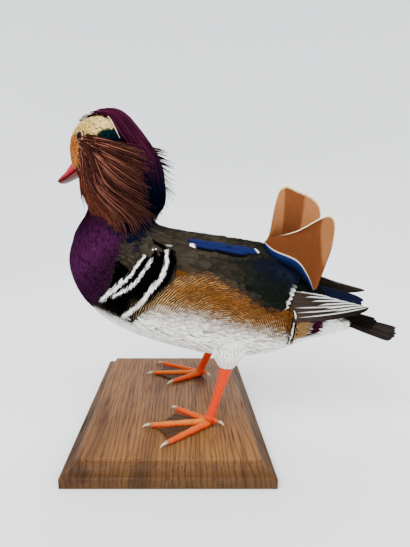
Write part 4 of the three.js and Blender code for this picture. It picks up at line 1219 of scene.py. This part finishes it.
count, rows = 2200, 9
t = np.linspace(0, 1, rows)[None]
start = rng.uniform(0.0, 0.84, count)[:, None] ** 0.85
end = np.minimum(start + rng.uniform(0.14, 0.34, (count, 1)), rng.uniform(0.9, 1.0, (count, 1)))
at = start + (end - start) * t
widest = np.interp(start, [0, 0.2, 0.5, 0.7, 1], [5, 8.5, 9.5, 11, 11])
side_start = rng.uniform(-1, 1, (count, 1)) * widest
side_end = side_start * np.interp(end, [0, 0.5, 1], [1.1, 1, 0.75]) + rng.normal(0, 0.8, (count, 1))
sideways = side_start + (side_end - side_start) * t
layer = rng.uniform(0, 1, (count, 1)) ** 0.8
thickness = np.interp(at, [0, 0.3, 0.5, 0.65, 0.85, 1], [2.5, 3.5, 6.5, 13, 22, 24])
white_edge = (np.abs(side_start) > 7.4) & (start > 0.26) & (start < 0.46)
white_edge = white_edge & (rng.uniform(0, 1, (count, 1)) < 0.3)
layer = np.where(white_edge, 1.05 + 0.15 * layer, layer)
depth = 0.4 + layer * thickness
path = turned(crest_place(at, sideways, depth))
out = turned(crest_place(at, sideways * 1.3, depth - 4)) - path
taper = np.interp(t, [0, 0.3, 0.75, 1], [0.6, 1, 0.7, 0.06])
half = CREST_HALF * taper * rng.uniform(0.8, 1.2, (count, 1))
tint = blend(flat(CROWN_PURPLE, at), CREST_MAROON, soft(rng.uniform(-1, 1, (count, 1)), 1))
tint = blend(tint, CROWN_GREEN, soft(0.15 - at, 0.06))
tint = blend(tint, NAPE_BLUE, soft(at - 0.62, 0.16))
half = half * (1 - 0.5 * white_edge)
tint = blend(tint, CREST_STREAK, 0.9 * white_edge * soft(0.72 - at, 0.08))
white_front = (start < 0.13) & (np.abs(side_start) > 2.5)
white_front = white_front & (rng.uniform(0, 1, (count, 1)) < 0.6)
tint = blend(tint, WHITE, white_front * soft(0.19 - at, 0.04))
low_white = (end > 0.955) & (rng.uniform(0, 1, (count, 1)) < 0.1)
tint = blend(tint, WHITE, 0.4 * low_white * soft(t - 0.78, 0.1))
roots = np.stack([(LAST - 10 * start[:, 0]) / LAST, side_start[:, 0] / 360 + 0.5], -1)
piece = plumes("crest_feathers", path, out, half, tint, contour, roots)
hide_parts("crest")

# Ruff: stiff narrow hackles with pale shafts that fan out from each cheek, back, down and on
# to the breast. Each is a quadratic curve from its root by its bulge to its tip, whose places
# are x, z of the straight bird and how far out from the median plane.
RUFF = {
    "roots": [[-60, 248, 18], [-59, 236, 19], [-57, 227, 19]],
    "bulges": [[-36, 248, 21], [-38, 216, 26], [-58, 204, 22]],
    "tips": [
        [2, 237, 14], [11, 222, 14], [3, 202, 17], [-9, 184, 24], [-22, 170, 33],
        [-36, 163, 37], [-51, 160, 35], [-59, 166, 29], [-60, 187, 18],
    ],
}
HACKLE, HACKLE_DARK, HACKLE_FRONT = rgb("23090b"), rgb("080204"), rgb("5e210c")
HACKLE_PALE, HACKLE_ROOT = rgb("a06650"), rgb("a87c66")
hackle = plume_material("hackle_feathers", 0.55, 9.0, 0.2, 0.007, rgb("80503f"))[0]
for side_name, side in SIDES:
    count, rows = 1500, 9
    k = rng.uniform(0, 1, count)
    pale = (rng.uniform(0, 1, (count, 1)) < 0.1) * 1.0
    layer = rng.uniform(0, 1, count) ** 0.7
    reach = (0.16 + 0.84 * layer) * rng.uniform(0.88, 1.02, count)
    root = curve(RUFF["roots"], k) + rng.normal(0, 1, (count, 3)) * [3.2, 3.0, 0.2]
    bulge = root + (curve(RUFF["bulges"], k) - root) * reach[:, None]
    tip = root + (curve(RUFF["tips"], k) - root) * reach[:, None]
    tip = tip + rng.normal(0, 1, (count, 3)) * [1.6, 1.6, 0.6]
    t = np.linspace(0, 1, rows)[None, :, None]
    start = rng.uniform(0, 0.45, count)[:, None, None] * layer[:, None, None]
    t = start + (1 - start) * t
    p = (1 - t) ** 2 * root[:, None] + 2 * t * (1 - t) * bulge[:, None] + t**2 * tip[:, None]
    outward = p[..., 2] + 2.2 * (1 - layer[:, None]) + rng.uniform(0, 0.8, (count, 1)) + 0.3 * pale
    straight = np.stack([p[..., 0], MEDIAN_Y - side * outward, p[..., 1]], -1)
    path = turned(straight)
    out = turned(straight + np.array([0.5, -side * 3, 0.5])) - path
    along = np.linspace(0, 1, rows)[None]
    taper = np.interp(along, [0, 0.25, 0.7, 1], [0.5, 1, 0.55, 0.08])
    half = taper * rng.uniform(0.7, 1.15, (count, 1)) * (1 - 0.68 * pale)
    mixed = rng.uniform(-1, 1, (count, 1))
    tint = blend(flat(HACKLE, half), HACKLE_DARK, soft(mixed, 1) * 0.6 + 0.4 * soft(along - 0.7, 0.3))
    front = soft(k - 0.66, 0.12) * soft(0.98 - k, 0.06)
    tint = blend(tint, HACKLE_FRONT, front[:, None] * soft(along - 0.3, 0.4) * (0.5 + 0.5 * mixed))
    pale_tint = blend(flat(HACKLE_PALE, half), HACKLE_FRONT, 0.6 * front[:, None])
    tint = blend(tint, pale_tint, 0.8 * pale * soft(0.85 - along, 0.2))
    dots = (start[:, :, 0] < 0.12) * (rng.uniform(0, 1, (count, 1)) < 0.5) * soft(0.1 - along, 0.04)
    tint = blend(tint, HACKLE_ROOT, 0.7 * dots)
    tint = blend(tint, BLACK, soft(k - 0.985, 0.01)[:, None] * 0.9 + 0 * along)
    roots = np.stack([0.7 + 0.1 * k, 0.25 * side + 0.5 + 0.01 * layer], -1)
    piece = plumes(f"hackles_{side_name}", path, out, half, tint, hackle, roots, thick=0.3)
    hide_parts(f"ruff_{side_name}")

# Eyes: a glass ball with a dark iris and a black pupil set in each side of the face, and a
# pale bare lid round it. The iris is painted by the angle from the ball's front.
EYE_ROWS, EYE_COLS = 40, 48
LID_ROUND, LID_COLS, LID_HALF = 64, 12, 0.00036
IRIS, IRIS_RIM, PUPIL, EYE_BACK = rgb("180707"), rgb("2c1210"), rgb("020202"), rgb("0a0505")


def painted(tree):
    """The socket of the colours that a piece carries in its tint attribute."""
    return node(tree, "ShaderNodeAttribute", attribute_name="tint").outputs["Color"]


eye_glass, shader = material("eye_glass", roughness=0.06, Specular_IOR_Level=0.03)
tree = eye_glass.node_tree
tree.links.new(painted(tree), shader.inputs["Base Color"])
lid_skin, shader = material("eyelid_skin", roughness=0.5)
tree = lid_skin.node_tree
folds = object_noise(tree, 900, (1, 1, 1), 3)
tree.links.new(ramp(tree, folds, [(0.3, rgb("c9954f")), (0.7, rgb("f3e2b8"))]), shader.inputs["Base Color"])
tree.links.new(bump(tree, folds, 0.5, 0.0002), shader.inputs["Normal"])


def facing(direction):
    """Two directions square to the given one."""
    across = unit(np.cross(np.array([0, 0, 1.0]), direction))
    return across, np.cross(direction, across)


def ring_tube(centres, radii, a, b, corners=20):
    """Rings of points about centres, in the directions a and b, of rows by corners."""
    turn = np.linspace(0, 2 * np.pi, corners, endpoint=False)
    turn = turn[None, :, None]
    spread = np.cos(turn) * a[..., None, :] + np.sin(turn) * b[..., None, :]
    return centres[:, None] + radii[:, None, None] * spread


for side_name, side in SIDES:
    low, high = (np.array(corner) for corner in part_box(f"eye_{side_name}"))
    centre, radius = (low + high) / 2, float((high - low)[2]) / 2
    in_head = np.array([0, 0, 230.0])
    toward = unit(turned(in_head + [-0.25, -side, 0.06]) - turned(in_head))
    across, up = facing(toward)
    polar = np.linspace(0.02, math.pi - 0.02, EYE_ROWS)
    centres = centre + toward * (radius * np.cos(polar))[:, None]
    ball = ring_tube(centres, radius * np.sin(polar), across[None], up[None], EYE_COLS)
    faces = closed_tube(EYE_ROWS, EYE_COLS, True)
    eyeball = mesh_piece(f"eyeball_{side_name}", ball.reshape(-1, 3), faces)
    angle = np.broadcast_to(polar[:, None], (EYE_ROWS, EYE_COLS))
    iris = blend(flat(IRIS, angle), IRIS_RIM, soft(angle - 0.62, 0.2))
    iris = blend(iris, PUPIL, soft(0.48 - angle, 0.06))
    paint(eyeball, blend(iris, EYE_BACK, soft(angle - 1.0, 0.1)), np.ones(angle.shape))
    eyeball.data.materials.append(eye_glass)
    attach(eyeball, "root")
    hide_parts(f"eye_{side_name}")
    turn = np.linspace(0, 2 * np.pi, LID_ROUND, endpoint=False)
    radial = np.cos(turn)[:, None] * across + np.sin(turn)[:, None] * up
    narrowed = 1 - 0.12 * np.abs(np.sin(turn))
    spine = centre + toward * radius * 0.5 + radial * (radius * 0.95 * narrowed)[:, None]
    corner = np.linspace(0, 2 * np.pi, LID_COLS, endpoint=False)[None, :, None]
    lid = spine[:, None] + LID_HALF * (np.cos(corner) * radial[:, None] - np.sin(corner) * toward)
    quads = grid_faces(LID_ROUND + 1, LID_COLS, True) % (LID_ROUND * LID_COLS)
    lids = mesh_piece(f"eyelids_{side_name}", lid.reshape(-1, 3), quads)
    lids.data.materials.append(lid_skin)
    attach(lids, "root")

# Bill: horn in two halves with a line of mouth between them, a crimson upper half with
# dented nostrils, and a dark hooked nail at its tip. Widths are half widths.
BILL = {"tip_x": -119.5, "tip_z": 217, "tip_width": 5.2, "tip_depth": 3}
BILL_ROWS, BILL_COLS = 48, 48
MOUTH = (0.58, 0.66)
NOSTRIL = {"x": -104.5, "z": 227.7, "radius": 1.3}
BILL_RED, BILL_PINK, BILL_NAIL = rgb("a3182f"), rgb("6e3020"), rgb("3c1c14")
horn, shader = material("bill_horn", roughness=0.4, Specular_IOR_Level=0.15)
tree = horn.node_tree
wear = object_noise(tree, 500)
worn = mix(tree, 0.5, painted(tree), ramp(tree, wear, [(0.35, 0.55), (0.6, 1.0)]), "MULTIPLY")
tree.links.new(worn, shader.inputs["Base Color"])
tree.links.new(bump(tree, wear, 0.3, 0.0002), shader.inputs["Normal"])


def bill_half(upper):
    """Rings of one half of the straight bill, from inside the face to its round tip, the share
    along it of each ring, and how far up the ring each point is. Its two edges in the median
    plane run from the last section to the tip and sag by the product of the shares of the way,
    and each ring is an ellipse squashed between its half's own shares of the depth."""
    first, last = (0, MOUTH[0]) if upper else (MOUTH[1], 1)
    run = np.linspace(0, 1, BILL_ROWS)[:, None]
    t = -0.04 + run * (1.04 if upper else 0.97)
    closing = rounded_end(run, 0.9, 0.1002)
    root = SECTIONS[-1]
    sag = t * (1 - t)
    top_x = root[0] + (BILL["tip_x"] - root[0]) * t
    top_z = root[1] + (BILL["tip_z"] + BILL["tip_depth"] - root[1]) * t - 5 * sag
    low_x = root[2] + (BILL["tip_x"] + 1 - root[2]) * t
    low_z = root[3] + (BILL["tip_z"] - BILL["tip_depth"] / 2 - root[3]) * t - 1.5 * sag
    half = root[4] - 1 + (BILL["tip_width"] - root[4] + 1) * np.clip(t * 2, 0, 1)
    half = half * np.sqrt(1 - np.clip(t - 0.8, 0, 1) ** 2 * 14) * closing
    a = np.linspace(0, 2 * np.pi, BILL_COLS, endpoint=False)[None]
    round_up = (np.cos(a) + 1) / 2
    middle = (first + last) / 2
    depth = middle + (last + (first - last) * round_up - middle) * (0.25 + 0.75 * closing)
    hook = 0.8 * soft(run - 0.86, 0.1) if upper else 0
    x = top_x + (low_x - top_x) * depth
    y = MEDIAN_Y - half * np.sin(a) * (1 - 0.25 * round_up)
    z = top_z + (low_z - top_z) * depth - hook
    return np.stack([x, y, z], -1), np.broadcast_to(run, x.shape), round_up


for name, upper in (("bill_upper_half", True), ("bill_lower_half", False)):
    rings, run, round_up = bill_half(upper)
    off = rings[..., 0] - NOSTRIL["x"], (rings[..., 2] - NOSTRIL["z"]) * 1.6
    hole = np.hypot(*off) / NOSTRIL["radius"]
    side_on = np.abs(rings[..., 1] - MEDIAN_Y) > 2
    dent = soft(1.1 - hole, 0.5) * side_on * upper
    rings[..., 1] -= np.sign(rings[..., 1] - MEDIAN_Y) * dent
    piece = mesh_piece(name, turned(rings).reshape(-1, 3), closed_tube(BILL_ROWS, BILL_COLS, True))
    tint = blend(flat(BILL_RED if upper else BILL_PINK, run), BILL_PINK, 0.5 * soft(run - 0.5, 0.4))
    tint = blend(tint, BILL_NAIL, soft(run - 0.84, 0.04) if upper else soft(run - 0.2, 0.6) * 0.8)
    # the nostrils' dents are painted near black, and the upper half darker along its lower edge by the
    # mouth: painted shade in the nostrils and the mouth's gap
    tint = blend(tint, BLACK, np.maximum(dent * 0.9, 0.5 * soft(0.06 - round_up, 0.08) * upper))
    paint(piece, tint, np.ones(run.shape))
    piece.data.materials.append(horn)
    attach(piece, "root")
    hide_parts("bill_upper" if upper else "bill_lower")

# Legs: scaled orange shanks and toes, brown webs between the front toes, pale claws, and the
# white feathers of the belly that reach down over each thigh. Places are in millimetres.
LEGS = {
    "left": {
        "hip": [50, -31, 80],
        "ankle": [47.5, -38.5, 64],
        "foot": [33.5, -49.5],
        "toes": {
            "inner": [0.4, -22.1], "middle": [-22.7, -53.2], "outer": [-6.6, -80.4],
            "hind": [40, -53.5],
        },
    },
    "right": {
        "hip": [40, 24, 82],
        "ankle": [44, 33.5, 59.5],
        "foot": [30.7, 44],
        "toes": {
            "inner": [-4.7, 22.2], "middle": [-27.1, 46.4], "outer": [-16.8, 75.2],
            "hind": [36.8, 37],
        },
    },
}
SOLE, ANKLE_HEIGHT, HIND_RAISED, CLAW = 17.1, 7.8, 3.0, 7.5
# the heel's rings from the top down: how far they lie before the foot's middle, their heights
# over the sole, and their radii
HEEL = np.array([[0, ANKLE_HEIGHT + 1, 4.2], [0.5, 6, 4.3], [1, 4, 4.1], [1.5, 2, 3.6], [2, 0.6, 2.6]])
TOE_RADIUS, TOE_TAPER, TOE_KNUCKLE = 3.0, 1.2, 0.3
WEB_HALF = 0.35
THIGH_AT, THIGH_RADII = [0, 0.55, 1.0], [16.0, 11.0, 4.6]
SCUTES = 17.0
LEG_ORANGE, LEG_DEEP, LEG_YELLOW = rgb("cc3301"), rgb("8e2403"), rgb("c8902c")
WEB_BROWN, CLAW_PALE, CLAW_DARK = rgb("3d2816"), rgb("b9a37c"), rgb("6e5a3c")

leg_skin, shader = material("leg_skin", roughness=0.5, Specular_IOR_Level=0.1)
tree = leg_skin.node_tree
scales = node(tree, "ShaderNodeTexVoronoi", Scale=720.0)
tree.links.new(object_place(tree), scales.inputs["Vector"])
# the edges of the scales are painted darker: painted shade in the creases between them
crease_shade = ramp(tree, scales.outputs["Distance"], [(0.25, 1.0), (0.75, 0.75)])
tree.links.new(mix(tree, 0.8, painted(tree), crease_shade, "MULTIPLY"), shader.inputs["Base Color"])
scute = node(tree, "ShaderNodeUVMap", uv_map="limb")
split = node(tree, "ShaderNodeSeparateXYZ")
tree.links.new(scute.outputs["UV"], split.inputs[0])
bands = calculate(tree, "SINE", calculate(tree, "MULTIPLY", split.outputs["Y"], SCUTES))
bands = calculate(tree, "MULTIPLY", calculate(tree, "ABSOLUTE", bands), 0.7)
relief = calculate(tree, "ADD", bands, scales.outputs["Distance"])
tree.links.new(bump(tree, relief, 0.4, 0.0004), shader.inputs["Normal"])
claw_horn, shader = material("claw_horn", roughness=0.38, Coat_Weight=0.2)
tree = claw_horn.node_tree
tree.links.new(painted(tree), shader.inputs["Base Color"])
tree.links.new(bump(tree, object_noise(tree, 900, (1, 1, 0.3), 3), 0.3, 0.0001), shader.inputs["Normal"])


def limb(centres, radii, corners=28, floor=None):
    """A tube in millimetres of rings square to a centre line, flattened on a floor where one
    is given."""
    ahead = unit(np.gradient(centres, axis=0))
    a = unit(np.cross(np.array([0.1, 1.0, 0.2]), ahead))
    rings = ring_tube(centres, radii, a, np.cross(ahead, a), corners)
    if floor is not None:
        rings[..., 2] = np.maximum(rings[..., 2], floor)
    return rings


def limb_piece(name, tubes, tints, finish, sheets=()):
    """One piece from closed tubes, and closed sheets of an upper and a lower grid."""
    vertices, faces, colors, places, base = [], [], [], [], 0
    for part, tint in zip([*tubes, *sheets], tints):
        rows, cols = part.shape[-3:-1]
        own_faces = closed_tube(rows, cols) if part.ndim == 3 else [sheet_faces(1, rows, cols)]
        faces += [f + base for f in own_faces]
        along, around = np.meshgrid(np.linspace(0, 4, rows), np.linspace(0, 2, cols), indexing="ij")
        place = np.stack([around, along], -1)
        places.append(np.broadcast_to(place, (*part.shape[:-1], 2)).reshape(-1, 2))
        colors.append(np.broadcast_to(tint, part.shape).reshape(-1, 3))
        vertices.append(part.reshape(-1, 3))
        base += part.size // 3
    piece = mesh_piece(name, MM * np.concatenate(vertices), faces)
    paint(piece, np.concatenate(colors), np.zeros(base))
    uv_map(piece, "limb", np.concatenate(places))
    piece.data.materials.append(finish)
    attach(piece, "root")
    return piece


def line(a, b, t):
    """Points between two, at shares t."""
    a, b = np.array(a, float), np.array(b, float)
    return a + (b - a) * np.asarray(t)[..., None]


def shortened(foot, tip, by):
    """A toe's tip drawn back towards the foot by a length."""
    foot, tip = np.array(foot, float), np.array(tip, float)
    return tip + (foot - tip) * by / np.linalg.norm(tip - foot)


def leg_tint(rings, yellow=0.0):
    """Orange that deepens in patches, where two waves' product is high, with yellow scales on
    the upper side."""
    patch = np.sin(rings[..., 0] * 1.3) * np.sin(rings[..., 1] * 1.7 + rings[..., 2])
    color = blend(flat(LEG_ORANGE, patch), LEG_DEEP, 0.35 * soft(patch, 1.4))
    raised = soft(rings[..., 2] - rings[..., 2].mean(1, keepdims=True) - 1, 2)
    return blend(color, LEG_YELLOW, yellow * raised * soft(patch + 0.3, 1))


def web(foot, a, b, rows=22, cols=26):
    """The web between two toes as an upper and a lower grid, thin, hollow at its edge and a
    little rippled. Places are shares of the way out along lines fanned between the toes."""
    t, k = np.meshgrid(np.linspace(0.1, 1, rows), np.linspace(0, 1, cols), indexing="ij")
    across = np.sin(np.pi * k)
    reach = (t * (0.96 - 0.05 * across))[..., None]
    place = np.array(foot) + (line(a, b, k) - np.array(foot)) * reach
    ripple = 0.35 * across * np.sin(9 * np.pi * k) * t
    z = SOLE + 1.5 + (1 - t) * 1.2 + ripple - 0.5 * across * t
    upper = np.concatenate([place, (z + WEB_HALF)[..., None]], -1)
    lower = np.concatenate([place, (z - WEB_HALF)[..., None]], -1)
    by_toes = soft(0.16 - np.minimum(k, 1 - k), 0.12)
    tint = blend(flat(WEB_BROWN, t), LEG_DEEP, by_toes + 0.3 * soft(0.35 - t, 0.3))
    to_the_left = np.cross(np.array(a) - foot, np.array(b) - foot) > 0
    return np.stack([upper, lower] if to_the_left else [lower, upper]), tint


for side_name, side in SIDES:
    leg = LEGS[side_name]
    foot, toes = leg["foot"], leg["toes"]
    base = [*foot, SOLE + ANKLE_HEIGHT]
    t = np.linspace(-0.2, 1.06, 60)
    radii = np.interp(t, [-0.06, 0.12, 0.35, 0.8, 1.06], [4.8, 5, 4.1, 3.4, 4.2])
    shank = limb(line(leg["ankle"], base, t), radii)
    piece = limb_piece(f"tarsus_{side_name}", [shank], [leg_tint(shank)], leg_skin)
    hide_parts(f"shank_{side_name}")

    tips = {toe: shortened(foot, tip, CLAW) for toe, tip in toes.items() if toe != "hind"}
    forward, height, radii = HEEL.T
    heel = np.stack([foot[0] - forward, foot[1] + 0 * forward, SOLE + height], -1)
    tubes = [limb(heel, radii)]
    for toe, end in [*tips.items(), ("hind", toes["hind"])]:
        t = np.linspace(0, 1, 48)
        radii = TOE_RADIUS - TOE_TAPER * t + TOE_KNUCKLE * np.sin(t * np.pi * 3.5) ** 2
        radii = radii * (0.75 if toe == "hind" else 1) * rounded_end(t, 0.94, 0.08)
        level = SOLE + TOE_RADIUS + 0.1 - TOE_TAPER * t + (HIND_RAISED if toe == "hind" else 0)
        tubes.append(limb(np.concatenate([line(foot, end, t), level[:, None]], 1), radii, floor=SOLE))
    # the middle toe is the yellowest
    tints = [leg_tint(tube, 0.8 if i == 2 else 0.35) for i, tube in enumerate(tubes)]
    webs = [web(foot, tips[a], tips[b]) for a, b in (("inner", "middle"), ("middle", "outer"))]
    tints += [np.stack([tint, tint]) for _, tint in webs]
    sheets = [sheet for sheet, _ in webs]
    piece = limb_piece(f"toes_{side_name}", tubes, tints, leg_skin, sheets)
    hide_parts(f"foot_{side_name}")

    for toe, tip in toes.items():
        hind = toe == "hind"
        start = shortened(foot, tip, -0.3 if hind else CLAW - 0.3)
        end = shortened(foot, tip, -5) if hind else np.array(tip)
        raised = HIND_RAISED if hind else 0
        t = np.linspace(0, 1, 24)
        level = SOLE + 2.2 + raised - 1.7 * t**1.8 + 0.5 * np.sin(np.pi * t)
        radii = 1.5 * (1 - t) ** 0.7 + 0.14
        claw = limb(np.concatenate([line(start, end, t), level[:, None]], 1), radii, 16)
        tint = blend(flat(CLAW_PALE, claw[..., 0]), CLAW_DARK, soft(0.25 - t, 0.3)[:, None])
        piece = limb_piece(f"claw_{toe}_{side_name}", [claw], [tint], claw_horn)
        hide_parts(f"claw_{side_name}_{toe}")

    # the feathered thigh, a tube of down under loose white feathers
    hip, ankle = np.array(leg["hip"], float), np.array(leg["ankle"], float)
    t = np.linspace(-0.3, 0.92, 30)
    radii = np.interp(t, THIGH_AT, THIGH_RADII) * rounded_end(t, 0.84, 0.081)
    thigh = limb(line(hip, ankle, t), radii)
    # the down is painted a fifth darker than the white feathers: painted shade under them
    tint = flat(WHITE, thigh[..., 0]) * 0.8
    piece = limb_piece(f"thigh_down_{side_name}", [thigh], [tint], contour)
    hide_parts(f"thigh_{side_name}")
    count = 1100
    at = rng.uniform(-0.1, 0.85, count)[:, None]
    bearing = rng.uniform(0, 2 * np.pi, count)[:, None]
    rows = VANE_ROWS[None]
    reach = at + rows * rng.uniform(0.28, 0.5, (count, 1))
    reach = np.minimum(reach, 0.8 + rows * rng.uniform(0.06, 0.22, (count, 1)))
    radius = np.interp(reach, [*THIGH_AT, 1.35], [*THIGH_RADII, 5.0])
    radius = radius + rows * rng.uniform(0.2, 1.6, (count, 1))
    bearing = bearing + rows * rng.normal(0, 0.12, (count, 1))
    around = np.stack([np.cos(bearing), np.sin(bearing), 0 * bearing], -1)
    path = MM * (line(hip, ankle, reach) + around * radius[..., None])
    half = 1.3 * VANE_SHAPE * rng.uniform(0.7, 1.2, (count, 1))
    tint = flat(WHITE, half) * rng.uniform(0.85, 1, (count, 1, 1))
    roots = np.stack([0.2 + 0 * at[:, 0], 0.5 + 0.1 * side * at[:, 0]], -1)
    plumes(f"thigh_feathers_{side_name}", path, around + 0 * path, half, tint, contour,
           roots, thick=0.25)
